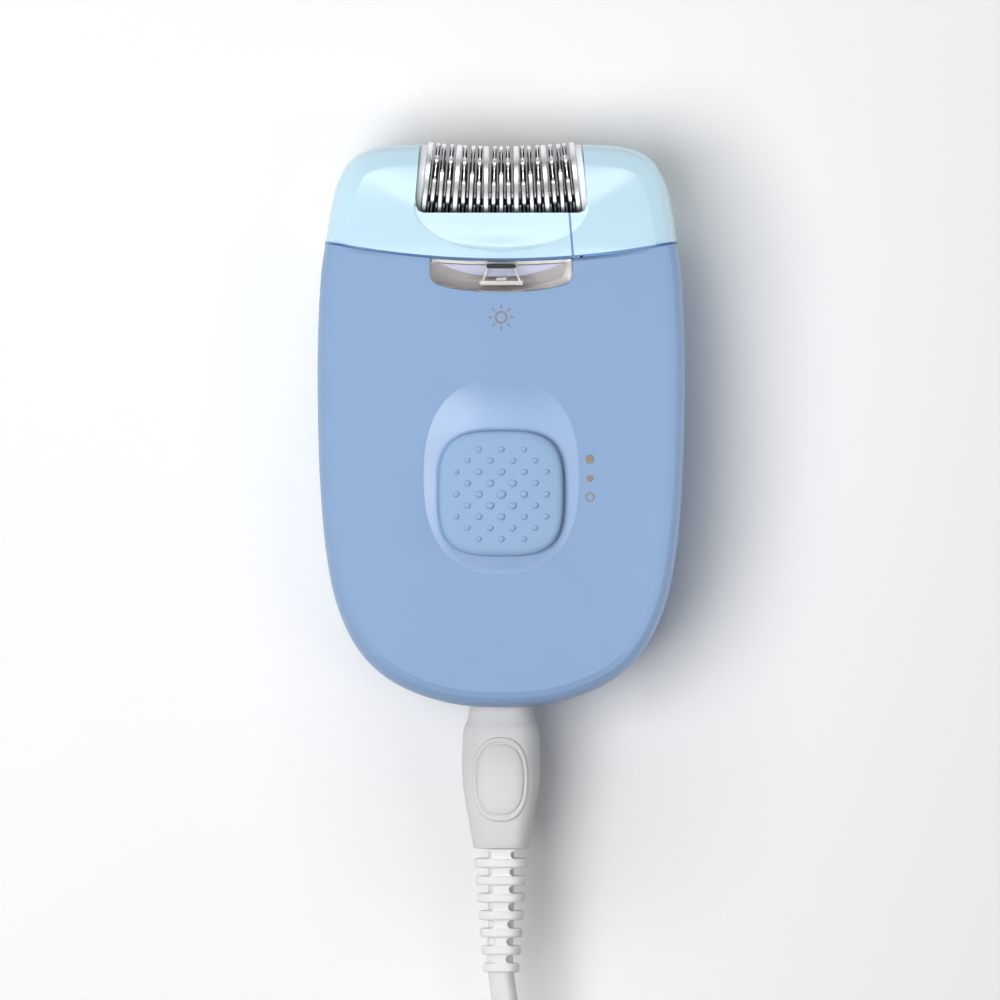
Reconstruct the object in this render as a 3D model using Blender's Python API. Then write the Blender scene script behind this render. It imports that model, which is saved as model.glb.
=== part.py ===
"""Corded epilator lying on its back, with its low-voltage lead and wall adapter.

Frame: +X to the right of the front face, +Y towards the tweezer head, +Z out of the
front face.  The origin is under the middle of the object, on the surface it rests on.
Sizes below are in millimetres; every mesh is written in metres through MM.
"""
import math

import bmesh
import bpy
from mathutils import Vector

MM = 0.001

# --- Housing -------------------------------------------------------------------------
PARTING_Z = 17.0            # height of the joint between the front and rear shells
PARTING_GAP = 0.15          # half of the joint gap
WALL = 2.4
END_WALL = 2.0              # wall of the shells that faces the head
SEAM_MID_Y = 27.9           # head/body seam at the middle
SEAM_RISE = 3.1             # how much higher the seam is at the sides
SEAM_HALF = 30.0
SEAM_GAP = 0.2              # half of the seam gap
SEAM_STEPS = 8
FRONT_EDGE_Z = 30.4
FRONT_CROWN = 2.6           # rise of the front face from its edge to its crest

# Right-hand edge of the body from the seam to the tip, as (X, Y).
BODY_EDGE = [(29.9, 31.0), (30.7, 25.0), (31.2, 14.0), (31.2, 2.0), (30.8, -10.0),
             (29.8, -21.5), (27.8, -31.0), (24.0, -38.6), (18.2, -43.8), (9.6, -47.1),
             (0.0, -48.0)]
# Right-hand edge of the head from the seam to the top.
HEAD_EDGE = [(29.9, 31.0), (29.1, 36.3), (27.9, 41.2), (25.4, 45.3), (20.6, 47.4),
             (12.0, 47.85), (0.0, 47.85)]

# Shell profiles as (inset, scale, Z): the outline is moved in by the inset, then drawn
# in towards the middle of the seam by the scale.
FRONT_SKIN = [(0.0, 1.0, PARTING_Z + PARTING_GAP), (0.15, 1.0, 23.0), (0.6, 1.0, 27.6),
              (1.5, 1.0, 29.6), (2.8, 1.0, FRONT_EDGE_Z), (2.8, 0.8, 31.34),
              (2.8, 0.55, 32.21), (2.8, 0.25, 32.84)]
FRONT_HOLLOW = [(WALL, 1.0, PARTING_Z - 1.0), (2.7, 1.0, 25.0), (4.4, 1.0, 27.8),
                (4.4, 0.6, 28.8), (4.4, 0.2, 29.2)]
REAR_SKIN = [(0.0, 1.0, PARTING_Z - PARTING_GAP), (0.3, 1.0, 11.0), (1.3, 1.0, 6.0),
             (3.4, 1.0, 2.8), (6.6, 1.0, 0.8), (9.6, 1.0, 0.0)]
REAR_HOLLOW = [(WALL, 1.0, PARTING_Z + 1.0), (2.8, 1.0, 10.5), (4.4, 1.0, 6.0),
               (7.4, 1.0, 3.2), (10.0, 1.0, 2.4)]

# --- Head ----------------------------------------------------------------------------
HEAD_THIN = 0.38            # share of the thickness lost between the seam and the top
HEAD_LENGTH = 17.8
HEAD_SKIN = [(3.9, 0.04, 0.5), (3.9, 0.45, 0.55), (3.9, 0.8, 0.7), (3.9, 0.94, 1.4),
             (2.9, 1.0, 3.4), (1.0, 1.0, 7.6), (0.2, 1.0, 12.5), (0.0, 1.0, 17.0),
             (0.2, 1.0, 22.5), (1.1, 1.0, 27.0), (3.9, 1.0, 29.3), (3.9, 0.75, 30.6),
             (3.9, 0.4, 31.8), (3.9, 0.04, 32.3)]
HEAD_HOLLOW = [(4.2, 0.04, 2.6), (4.2, 0.45, 2.65), (4.2, 0.76, 2.8), (4.2, 0.93, 4.0),
               (3.2, 1.0, 8.0), (1.7, 1.0, 14.0), (1.7, 1.0, 20.0), (2.8, 1.0, 24.6),
               (4.2, 0.94, 27.0), (4.2, 0.4, 29.0), (4.2, 0.04, 29.4)]
OPENING_HALF = 14.7         # half width of the tweezer opening
OPENING_LOW_Y = 35.9        # its lower edge at the front
RIB_X = 15.7                # inner face of the walls between the discs and the arms
RIB_THICK = 1.0
SPLIT_X = 11.8              # joint between the head's main piece and its side piece
# Hollow that leads into the opening, as (Y, half width, lowest Z, rise at its sides).
SCOOP = [(29.4, 1.5, 32.0, 0.3), (30.6, 6.5, 31.6, 0.4), (32.0, 10.0, 31.0, 0.5),
         (34.0, 12.8, 30.0, 0.8), (36.2, 14.3, 28.9, 1.0), (37.5, 14.4, 28.2, 1.1)]
PLATE_HALF = 22.5           # coupling plate on the body's end, inside the head
PLATE_LOW_Z = 5.6
PLATE_HIGH_Z = 27.0

# --- Tweezer discs -------------------------------------------------------------------
DISC_COUNT = 21
DISC_RADIUS = 9.0
DISC_PITCH = 1.287
DISC_RIM = 0.32
DISC_HUB = 0.74
DISC_BORE = 1.6
DISC_SEGMENTS = 18
DRUM_Y = 38.6
DRUM_Z = 17.0
AXLE_BEND = 119.0           # radius of the bent axle
AXLE_RADIUS = 1.15
AXLE_HALF = 16.0
CHEEK_X = 14.15
CHEEK_THICK = 0.55
CHEEK_RADIUS = 8.6

# --- Gear train ----------------------------------------------------------------------
MODULE = 0.7
PRESSURE = math.radians(25.0)
BACKLASH = 0.16
GEAR_WIDTH = 3.0
PLANE_A = 22.0              # X of the motor pinion and the big wheel it drives
PLANE_B = 18.5              # X of the small wheel, the transfer wheel and the head gear
PINION_TEETH = 12
BIG_TEETH = 28
SMALL_TEETH = 14
TRANSFER_TEETH = 26
HEAD_TEETH = 16
HEAD_GEAR_YZ = (39.2, 17.0)
TRAIN_DROP_1 = math.radians(183.0)
TRAIN_DROP_2 = math.radians(192.0)
PIN_RADIUS = 1.0

# --- Slide switch --------------------------------------------------------------------
KNOB_Y = -11.65
KNOB_HALF = 10.55
KNOB_POWER = 3.4
KNOB_Z = 31.3
DISH_Y = -8.8
DISH_FLOOR_Z = 31.0
DISH_HALF_X = 12.2
DISH_HALF_Y = 15.6
SWITCH_TRAVEL = 6.2

# --- Light window --------------------------------------------------------------------
LENS_HALF = 12.0
LENS_CORNER_Y = 23.9
LENS_LOW_Y = 22.4
LENS_FLOOR_Z = 26.2

# --- Appliance inlet, plug and lead --------------------------------------------------
PLUG_Z = 16.0
LEAD_RADIUS = 2.2
RIB_COUNT = 7
RIB_PITCH = 2.97
RIB_START_Y = -73.7
RIB_LENGTH = 1.6
COIL_CENTRE = (0.0, -147.0)
COIL_RADIUS = 26.0
COIL_HALF = 6.6
ADAPTER_Y = -195.0
ADAPTER_LENGTH = 44.0
ADAPTER_Z = 14.0
ADAPTER_PIN_PITCH = 19.0


# =====================================================================================
# Shape helpers
# =====================================================================================
def clear_scene():
    """Remove whatever the start-up scene holds."""
    for item in list(bpy.data.objects):
        bpy.data.objects.remove(item, do_unlink=True)


def material(name, colour, roughness, metallic=0.0):
    """A plain surface for one piece."""
    made = bpy.data.materials.new(name)
    made.use_nodes = True
    shader = made.node_tree.nodes["Principled BSDF"]
    shader.inputs["Base Color"].default_value = (*colour, 1.0)
    shader.inputs["Roughness"].default_value = roughness
    shader.inputs["Metallic"].default_value = metallic
    return made


def add_solid(name, shape, surface, origin=(0.0, 0.0, 0.0), turn=0.0, sharp=32.0):
    """Make an object from (vertices, faces) given in millimetres about its origin."""
    verts, faces = shape
    mesh = bpy.data.meshes.new(name)
    mesh.from_pydata([Vector(v) * MM for v in verts], [], faces)
    shell = bmesh.new()
    shell.from_mesh(mesh)
    bmesh.ops.recalc_face_normals(shell, faces=shell.faces)
    shell.to_mesh(mesh)
    shell.free()
    mesh.shade_smooth()
    mesh.set_sharp_from_angle(angle=math.radians(sharp))
    item = bpy.data.objects.new(name, mesh)
    bpy.context.scene.collection.objects.link(item)
    item.location = Vector(origin) * MM
    item.rotation_euler = (0.0, 0.0, turn)
    if surface is not None:
        mesh.materials.append(surface)
    return item


def boolean(target, name, shape, operation="DIFFERENCE", origin=(0.0, 0.0, 0.0)):
    """Cut a shape from the target, or join it on."""
    tool = add_solid(name, shape, None, origin)
    tool.hide_render = True
    tool.display_type = "WIRE"
    step = target.modifiers.new(name, "BOOLEAN")
    step.operation = operation
    step.solver = "EXACT"
    step.object = tool


def loft(loops):
    """Closed solid through loops that all hold the same number of points."""
    count = len(loops[0])
    verts = [point for loop in loops for point in loop]
    faces = []
    for level in range(len(loops) - 1):
        low = level * count
        high = low + count
        for i in range(count):
            j = (i + 1) % count
            faces.append((low + i, low + j, high + j, high + i))
    faces.append(tuple(range(count)))
    faces.append(tuple(range(len(verts) - count, len(verts))))
    return verts, faces


def box(low, high):
    """Rectangular block between two corners."""
    (x0, y0, z0), (x1, y1, z1) = low, high
    flat = [(x0, y0), (x1, y0), (x1, y1), (x0, y1)]
    return loft([[(x, y, z0) for x, y in flat], [(x, y, z1) for x, y in flat]])


def turned(profile, segments, axis="X"):
    """Turn a closed (along, radius) profile about an axis; radius 0 is not used."""
    verts = []
    for k in range(segments):
        angle = 2.0 * math.pi * k / segments
        for along, radius in profile:
            a = radius * math.cos(angle)
            b = radius * math.sin(angle)
            verts.append({"X": (along, a, b), "Y": (a, along, b), "Z": (a, b, along)}[axis])
    size = len(profile)
    faces = []
    for k in range(segments):
        here = k * size
        there = ((k + 1) % segments) * size
        for i in range(size):
            j = (i + 1) % size
            faces.append((here + i, here + j, there + j, there + i))
    return verts, faces


def rod(stations, segments, axis="X"):
    """Solid of revolution through (along, radius) stations, flat at both ends."""
    loops = []
    for along, radius in stations:
        loop = []
        for k in range(segments):
            angle = 2.0 * math.pi * k / segments
            a = radius * math.cos(angle)
            b = radius * math.sin(angle)
            loop.append({"X": (along, a, b), "Y": (a, along, b), "Z": (a, b, along)}[axis])
        loops.append(loop)
    return loft(loops)


def superellipse(half_x, half_y, power, count):
    """Closed squircle-like outline about the origin."""
    points = []
    for k in range(count):
        angle = 2.0 * math.pi * k / count
        c = math.cos(angle)
        s = math.sin(angle)
        points.append((math.copysign(abs(c) ** (2.0 / power), c) * half_x,
                       math.copysign(abs(s) ** (2.0 / power), s) * half_y))
    return points


def curve_points(route, per_span):
    """Points along a smooth curve through the route; the last one sits on X = 0."""
    first = (2 * route[0][0] - route[1][0], 2 * route[0][1] - route[1][1])
    last = (-route[-2][0], route[-2][1])
    knots = [first, *route, last]
    points = []
    for i in range(1, len(knots) - 2):
        for k in range(per_span):
            t = k / per_span
            points.append(tuple(
                0.5 * (2 * knots[i][c] + (knots[i + 1][c] - knots[i - 1][c]) * t
                       + (2 * knots[i - 1][c] - 5 * knots[i][c] + 4 * knots[i + 1][c]
                          - knots[i + 2][c]) * t * t
                       + (3 * knots[i][c] - knots[i - 1][c] - 3 * knots[i + 1][c]
                          + knots[i + 2][c]) * t ** 3)
                for c in (0, 1)))
    points.append(route[-1])
    return points


def seam(x):
    """Y of the head/body seam."""
    return SEAM_MID_Y + SEAM_RISE * (x / SEAM_HALF) ** 2


def outline(edge, inset, scale, gap):
    """Half of the housing seen from the front: an edge curve closed along the seam."""
    curve = curve_points(edge, 2)
    right = []
    for i, (x, y) in enumerate(curve):
        before = curve[max(i - 1, 0)]
        after = curve[i + 1] if i + 1 < len(curve) else (-curve[i - 1][0], curve[i - 1][1])
        along = Vector((after[0] - before[0], after[1] - before[1])).normalized()
        side = 1.0 if edge[-1][1] < 0.0 else -1.0
        right.append((x + side * along.y * inset, y - side * along.x * inset))
    corner = edge[0][0] - inset
    right[0] = (corner, seam(corner) + gap)
    right[-1] = (0.0, right[-1][1])
    left = [(-x, y) for x, y in reversed(right[:-1])]
    across = [corner * (2.0 * k / SEAM_STEPS - 1.0) for k in range(1, SEAM_STEPS)]
    loop = right + left + [(x, seam(x) + gap) for x in across]
    return [(scale * x, seam(scale * x) + gap + scale * (y - seam(x) - gap)) for x, y in loop]


def housing(edge, profile, gap):
    """Solid through a housing profile."""
    return loft([[(x, y, z) for x, y in outline(edge, inset, scale, gap)]
                 for inset, scale, z in profile])


def head_solid(profile, gap):
    """The same for the head, which thins towards its top."""
    loops = []
    for inset, scale, z in profile:
        loop = []
        for x, y in outline(HEAD_EDGE, inset, scale, gap):
            reach = min(max((y - 30.0) / HEAD_LENGTH, 0.0), 1.0)
            thin = 1.0 - HEAD_THIN * reach ** 1.3
            loop.append((x, y, DRUM_Z + (z - DRUM_Z) * thin))
        loops.append(loop)
    return loft(loops)


def front_height(x, y):
    """Height of the front face at a point inside the body's edge."""
    drop = seam(x) - y
    reach = math.hypot(x / (BODY_EDGE[3][0] - 2.8), drop / (SEAM_MID_Y + 45.2))
    return FRONT_EDGE_Z + FRONT_CROWN * (1.0 - min(reach, 1.0) ** 2)


def gear_outline(teeth, phase):
    """Involute gear outline in the Y-Z plane, turned by phase."""
    pitch = MODULE * teeth / 2.0
    base = pitch * math.cos(PRESSURE)
    tip = pitch + 0.85 * MODULE
    root = pitch - 1.15 * MODULE

    def half_width(radius):
        roll = math.acos(min(base / radius, 1.0))
        spread = math.tan(PRESSURE) - PRESSURE - math.tan(roll) + roll
        return math.pi / (2 * teeth) - BACKLASH / (2 * pitch) + spread

    flank = [(root, half_width(max(root, base))), (pitch, half_width(pitch)),
             (tip, half_width(tip))]
    points = []
    for tooth in range(teeth):
        middle = phase + 2.0 * math.pi * tooth / teeth
        for radius, half in flank:
            points.append((radius * math.cos(middle - half), radius * math.sin(middle - half)))
        for radius, half in reversed(flank):
            points.append((radius * math.cos(middle + half), radius * math.sin(middle + half)))
    return points


def gear(teeth, phase, middle_x):
    """Spur gear blank about the X axis."""
    flat = gear_outline(teeth, phase)
    half = GEAR_WIDTH / 2.0
    return loft([[(middle_x + x, y, z) for y, z in flat] for x in (-half, half)])


def mesh_phase(teeth_from, phase_from, teeth_to, line):
    """Phase that sets a gap of the second gear on a tooth of the first."""
    pitch_from = 2.0 * math.pi / teeth_from
    offset = (line - phase_from) / pitch_from
    return line + math.pi + math.pi / teeth_to + offset * 2.0 * math.pi / teeth_to


def tube(name, route, radius, surface):
    """Round cord along a route, as a filled curve."""
    data = bpy.data.curves.new(name, "CURVE")
    data.dimensions = "3D"
    data.bevel_depth = radius * MM
    data.bevel_resolution = 2
    data.use_fill_caps = True
    line = data.splines.new("POLY")
    line.points.add(len(route) - 1)
    for point, place in zip(line.points, route):
        point.co = (*(Vector(place) * MM), 1.0)
    item = bpy.data.objects.new(name, data)
    bpy.context.scene.collection.objects.link(item)
    data.materials.append(surface)
    return item


def smooth_route(route, step):
    """Even points along a smooth curve through route points."""
    knots = [Vector(p) for p in route]
    knots = [2 * knots[0] - knots[1], *knots, 2 * knots[-1] - knots[-2]]
    dense = []
    for i in range(1, len(knots) - 2):
        for k in range(24):
            t = k / 24
            dense.append(0.5 * (2 * knots[i] + (knots[i + 1] - knots[i - 1]) * t
                                + (2 * knots[i - 1] - 5 * knots[i] + 4 * knots[i + 1]
                                   - knots[i + 2]) * t * t
                                + (3 * knots[i] - knots[i - 1] - 3 * knots[i + 1]
                                   + knots[i + 2]) * t ** 3))
    dense.append(knots[-2])
    length = sum((b - a).length for a, b in zip(dense, dense[1:]))
    count = max(int(length / step), 2)
    points = [dense[0]]
    walked = 0.0
    for a, b in zip(dense, dense[1:]):
        walked += (b - a).length
        if walked >= length * len(points) / count and len(points) < count:
            points.append(b)
    points.append(dense[-1])
    return points


# =====================================================================================
# Pieces
# =====================================================================================
def build_housing(blue):
    """Front and rear shells with their openings."""
    front = add_solid("front_shell", housing(BODY_EDGE, FRONT_SKIN, -SEAM_GAP), blue)
    boolean(front, "front_hollow",
            housing(BODY_EDGE, FRONT_HOLLOW, -SEAM_GAP - END_WALL))
    dish = []
    for z, grow in ((DISH_FLOOR_Z, 0.0), (DISH_FLOOR_Z + 5.0, 3.0)):
        dish.append([(x, DISH_Y + y, z) for x, y in
                     superellipse(DISH_HALF_X + grow, DISH_HALF_Y + grow, 2.5, 32)])
    boolean(front, "dish_cut", loft(dish))
    slot_mid = KNOB_Y + SWITCH_TRAVEL / 2.0
    boolean(front, "switch_slot", box((-2.4, slot_mid - 6.6, 25.0), (2.4, slot_mid + 6.6, 33.0)))
    boolean(front, "lens_pocket", lens_solid(0.3, LENS_FLOOR_Z, 36.0, 2.0))

    rear = add_solid("rear_shell", housing(BODY_EDGE, REAR_SKIN, -SEAM_GAP), blue)
    boolean(rear, "rear_hollow", housing(BODY_EDGE, REAR_HOLLOW, -SEAM_GAP - END_WALL))
    for side, x in (("left", -13.0), ("right", 13.0)):
        boolean(rear, f"boss_{side}", rod([(1.2, 3.6), (10.0, 3.6)], 14, "Z"), "UNION",
                (x, -31.0, 0.0))
        boolean(rear, f"bore_{side}", rod([(-1.0, 2.9), (2.6, 2.9), (2.6001, 1.6), (12.0, 1.6)],
                                          14, "Z"), origin=(x, -31.0, 0.0))
    for shell in (front, rear):
        boolean(shell, f"{shell.name}_inlet", plug_section([(-50.0, 6.3, 5.5), (-43.0, 6.3, 5.5)]))
        boolean(shell, f"{shell.name}_gear_slot", box((16.4, 20.0, 6.6), (20.6, 34.0, 27.4)))


def lens_solid(grow, low, high, beyond):
    """Window outline from the seam down to a shallow arc, as an upright block."""
    half = LENS_HALF + grow
    flat = []
    for k in range(9):
        x = half * (k / 4.0 - 1.0)
        flat.append((x, LENS_LOW_Y - grow + (LENS_CORNER_Y - LENS_LOW_Y) * (x / half) ** 2))
    for k in range(9):
        x = half * (1.0 - k / 4.0)
        flat.append((x, seam(x) - SEAM_GAP + beyond))
    loops = [[(x, y, low) for x, y in flat]]
    if high is None:
        loops.append([(x, y, front_height(x, y) - 0.15) for x, y in flat])
    else:
        loops.append([(x, y, high) for x, y in flat])
    return loft(loops)


def plug_section(stations):
    """Rounded-oval solid along Y through (Y, half X, half Z) stations."""
    loops = []
    for y, half_x, half_z in stations:
        loops.append([(x, y, PLUG_Z + z) for x, z in superellipse(half_x, half_z, 2.6, 20)])
    return loft(loops)


def build_light(clear, black, lamp):
    """Light window, its dark hood and the lamp behind it."""
    window = add_solid("light_window", lens_solid(0.0, LENS_FLOOR_Z + 0.3, None, -0.1), clear)
    boolean(window, "hood_pocket", box((-2.8, 26.0, 28.5), (2.8, 27.4, 36.0)))
    add_solid("lamp_hood", box((-2.5, 26.3, 28.8), (2.5, 27.1, 32.6)), black)
    add_solid("lamp_led", rod([(23.9, 2.0), (24.5, 2.0), (25.2, 1.6), (25.6, 0.9)], 12, "Z"),
              lamp, (0.0, 19.6, 0.0))


def build_switch(blue, dark):
    """Sliding knob and the carrier under it."""
    rings = [(0.0, 0.5), (0.5, 0.1), (1.4, 0.0), (2.1, 0.35), (2.6, 1.2), (2.9, 3.4), (3.05, 7.0)]
    loops = [[(x, y, z) for x, y in superellipse(KNOB_HALF - inset, KNOB_HALF - inset,
                                                 KNOB_POWER, 28)] for z, inset in rings]
    knob = add_solid("switch_knob", loft(loops), blue, (0.0, KNOB_Y, KNOB_Z))
    boolean(knob, "knob_stem", box((-2.0, -3.0, -2.9), (2.0, 3.0, 0.6)), "UNION",
            (0.0, KNOB_Y, KNOB_Z))
    add_solid("switch_carrier", box((-6.0, -6.0, -1.5), (6.0, 6.0, 0.0)), dark,
              (0.0, KNOB_Y, 28.1))


def build_inside(dark, steel, green, copper, nylon):
    """Chassis, motor, board, contacts and screws."""
    flat = [(-18.0, 3.2), (15.8, 3.2), (15.8, 26.0), (13.8, 26.0), (13.8, 4.6), (-18.0, 4.6)]
    chassis = add_solid("chassis", loft([[(x, y, z) for x, z in flat] for y in (-18.0, 24.8)]),
                        dark)
    for name, (y, z), radius in (("motor_hole", MOTOR_YZ, 2.2), ("big_hole", BIG_YZ, 1.3),
                                 ("transfer_hole", TRANSFER_YZ, 1.3)):
        boolean(chassis, name, rod([(13.0, radius), (16.6, radius)], 12), origin=(0.0, y, z))

    motor_y, motor_z = MOTOR_YZ
    can = [(y, z) for y, z in superellipse(10.2, 7.55, 4.0, 24)]
    hollow = [(y, z) for y, z in superellipse(9.5, 6.85, 4.0, 24)]
    motor = add_solid("motor_can", loft([[(x, y, z) for y, z in can] for x in (-14.0, 13.2)]),
                      steel, (0.0, motor_y, motor_z))
    boolean(motor, "can_hollow", loft([[(x, y, z) for y, z in hollow] for x in (-15.0, 12.0)]),
            origin=(0.0, motor_y, motor_z))
    boolean(motor, "can_hole", rod([(11.0, 1.6), (14.0, 1.6)], 12), origin=(0.0, motor_y, motor_z))
    cap = add_solid("motor_end_cap", loft([[(x, y, z) for y, z in can] for x in (-17.0, -14.3)]),
                    nylon, (0.0, motor_y, motor_z))
    boolean(cap, "cap_hole", rod([(-18.0, 1.4), (-14.0, 1.4)], 12), origin=(0.0, motor_y, motor_z))

    add_solid("circuit_board", box((-13.0, -24.0, 22.2), (13.2, 17.0, 23.5)), green)
    add_solid("switch_contact", box((-3.0, -20.0, 24.2), (3.0, -3.0, 24.6)), copper)
    add_solid("inlet_socket", plug_section([(-43.2, 6.9, 6.1), (-34.0, 6.9, 6.1)]), dark)
    boolean(bpy.data.objects["inlet_socket"], "socket_hollow",
            plug_section([(-44.0, 5.2, 4.4), (-35.6, 5.2, 4.4)]))
    for side, x in (("left", -2.2), ("right", 2.2)):
        add_solid(f"inlet_pin_{side}", rod([(-40.6, 0.6), (-36.0, 0.6)], 10, "Y"), copper,
                  (x, 0.0, PLUG_Z))
    for side, x in (("left", -13.0), ("right", 13.0)):
        add_solid(f"screw_{side}", rod([(0.7, 2.5), (2.2, 2.5), (2.2001, 1.25), (9.4, 1.25)],
                                       12, "Z"), steel, (x, -31.0, 0.0))


def build_gears(steel, nylon):
    """Motor rotor, reduction wheels and their pins."""
    rotor = [(-16.4, 1.0), (-11.0, 1.0), (-10.99, 2.6), (-8.0, 2.6), (-7.99, 6.0), (8.0, 6.0),
             (8.01, 1.0), (23.8, 1.0)]
    add_solid("motor_rotor", rod(rotor, 14), steel, (0.0, *MOTOR_YZ))
    head_phase = 0.0
    line_1 = math.pi
    transfer_phase = mesh_phase(HEAD_TEETH, head_phase, TRANSFER_TEETH, line_1)
    small_phase = mesh_phase(TRANSFER_TEETH, transfer_phase, SMALL_TEETH, TRAIN_DROP_1)
    big_phase = 0.0
    pinion_phase = mesh_phase(BIG_TEETH, big_phase, PINION_TEETH, TRAIN_DROP_2)

    pinion = add_solid("motor_pinion", gear(PINION_TEETH, pinion_phase, PLANE_A), nylon,
                       (0.0, *MOTOR_YZ), sharp=20.0)
    boolean(pinion, "pinion_bore", rod([(PLANE_A - 3.0, 1.3), (PLANE_A + 3.0, 1.3)], 12),
            origin=(0.0, *MOTOR_YZ))
    reduction = add_solid("reduction_gear", gear(BIG_TEETH, big_phase, PLANE_A), nylon,
                          (0.0, *BIG_YZ), sharp=20.0)
    small = loft([[(x, y, z) for y, z in gear_outline(SMALL_TEETH, small_phase)]
                  for x in (PLANE_B - 1.5, PLANE_A - 1.0)])
    boolean(reduction, "small_wheel", small, "UNION", (0.0, *BIG_YZ))
    boolean(reduction, "reduction_bore", rod([(PLANE_B - 4.0, 1.3), (PLANE_A + 3.0, 1.3)], 12),
            origin=(0.0, *BIG_YZ))
    transfer = add_solid("transfer_gear", gear(TRANSFER_TEETH, transfer_phase, PLANE_B), nylon,
                         (0.0, *TRANSFER_YZ), sharp=20.0)
    boolean(transfer, "transfer_bore", rod([(PLANE_B - 3.0, 1.3), (PLANE_B + 3.0, 1.3)], 12),
            origin=(0.0, *TRANSFER_YZ))
    for name, place, reach in (("reduction_pin", BIG_YZ, 24.2), ("transfer_pin", TRANSFER_YZ, 20.6)):
        add_solid(name, rod([(13.2, PIN_RADIUS), (reach, PIN_RADIUS)], 12), steel, (0.0, *place))

    wheel = add_solid("head_gear", gear(HEAD_TEETH, head_phase, PLANE_B), nylon,
                      (0.0, *HEAD_GEAR_YZ), sharp=20.0)
    hub = rod([(14.1, 2.7), (19.6, 2.7), (19.61, 1.2), (22.5, 1.2)], 14)
    boolean(wheel, "gear_hub", hub, "UNION", (0.0, *HEAD_GEAR_YZ))
    boolean(wheel, "hub_bore", rod([(13.0, 2.0), (16.4, 2.0)], 14), origin=(0.0, *HEAD_GEAR_YZ))


def build_head(pale, steel, dark):
    """Head shells, end cheeks, bent axle, coupling plate and tweezer discs."""
    pieces = []
    for name in ("head_main", "head_side"):
        piece = add_solid(name, head_solid(HEAD_SKIN, SEAM_GAP), pale)
        pieces.append(piece)
        hollow = add_solid(f"{name}_hollow", head_solid(HEAD_HOLLOW, SEAM_GAP - 3.0), None)
        hollow.hide_render = True
        hollow.display_type = "WIRE"
        for side in (-1.0, 1.0):
            ends = sorted((side * RIB_X, side * (RIB_X + RIB_THICK)))
            boolean(hollow, f"{name}_rib_{'right' if side > 0 else 'left'}",
                    box((ends[0], 30.8, 0.0), (ends[1], 60.0, 40.0)))
        step = piece.modifiers.new("hollow", "BOOLEAN")
        step.operation = "DIFFERENCE"
        step.solver = "EXACT"
        step.object = hollow
        boolean(piece, f"{name}_opening", opening_solid())
        boolean(piece, f"{name}_scoop", scoop_solid())
        boolean(piece, f"{name}_hub_hole", rod([(15.0, 3.2), (17.4, 3.2)], 16),
                origin=(0.0, *HEAD_GEAR_YZ))
        boolean(piece, f"{name}_axle_hole", rod([(-17.4, 1.6), (-15.0, 1.6)], 12),
                origin=(0.0, axle_y(AXLE_HALF), DRUM_Z))
    boolean(pieces[0], "main_split", box((SPLIT_X - 0.15, 20.0, -5.0), (40.0, 60.0, 40.0)))
    boolean(pieces[1], "side_split", box((-40.0, 20.0, -5.0), (SPLIT_X + 0.15, 60.0, 40.0)))

    for side, sign in (("left", -1.0), ("right", 1.0)):
        tilt = sign * math.asin(CHEEK_X / AXLE_BEND)
        cheek = turned([(-CHEEK_THICK / 2, 3.5), (CHEEK_THICK / 2, 3.5),
                        (CHEEK_THICK / 2, CHEEK_RADIUS), (-CHEEK_THICK / 2, CHEEK_RADIUS)], 28)
        add_solid(f"cheek_{side}", cheek, steel, (sign * CHEEK_X, axle_y(CHEEK_X), DRUM_Z), tilt)

    stations = [AXLE_HALF * (2.0 * k / 12 - 1.0) for k in range(13)]
    tube("disc_axle", [(x, axle_y(x), DRUM_Z) for x in stations], AXLE_RADIUS, steel)

    plate = []
    for k in range(15):
        x = PLATE_HALF * (k / 7.0 - 1.0)
        trim = 2.0 if k in (0, 14) else 0.0
        low_z, high_z = PLATE_LOW_Z + trim, PLATE_HIGH_Z - trim
        low_y, high_y = seam(x) + 0.1, seam(x) + 1.2
        plate.append([(x, low_y, low_z), (x, high_y, low_z), (x, high_y, high_z),
                      (x, low_y, high_z)])
    coupling = add_solid("coupling_plate", loft(plate), dark)
    boolean(coupling, "plate_slot", box((16.4, 20.0, 7.9), (20.6, 40.0, 26.1)))

    profile = [(-DISC_HUB / 2, DISC_BORE), (DISC_HUB / 2, DISC_BORE),
               (DISC_RIM / 2, DISC_RADIUS), (-DISC_RIM / 2, DISC_RADIUS)]
    for i in range(DISC_COUNT):
        x = (i - (DISC_COUNT - 1) / 2) * DISC_PITCH
        add_solid(f"tweezer_disc_{i + 1:02d}", turned(profile, DISC_SEGMENTS), steel,
                  (x, axle_y(x), DRUM_Z), math.asin(x / AXLE_BEND))


def axle_y(x):
    """Y of the bent axle."""
    return DRUM_Y + AXLE_BEND - math.sqrt(AXLE_BEND ** 2 - x ** 2)


def scoop_solid():
    """Shallow hollow below the tweezer opening."""
    loops = []
    for y, half, low, rise in SCOOP:
        floor = [(half * (k / 4.0 - 1.0), low + rise * (k / 4.0 - 1.0) ** 2) for k in range(9)]
        loops.append([(x, y, z) for x, z in floor + [(half, 40.0), (-half, 40.0)]])
    return loft(loops)


def opening_solid():
    """Tweezer opening: full height of the head, from its lower edge out past the top."""
    flat = [(OPENING_LOW_Y, 17.0), (OPENING_LOW_Y, 40.0), (60.0, 40.0), (60.0, -5.0),
            (OPENING_LOW_Y + 1.6, -5.0), (OPENING_LOW_Y + 1.6, 9.0)]
    return loft([[(x, y, z) for y, z in flat] for x in (-OPENING_HALF, OPENING_HALF)])


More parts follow.
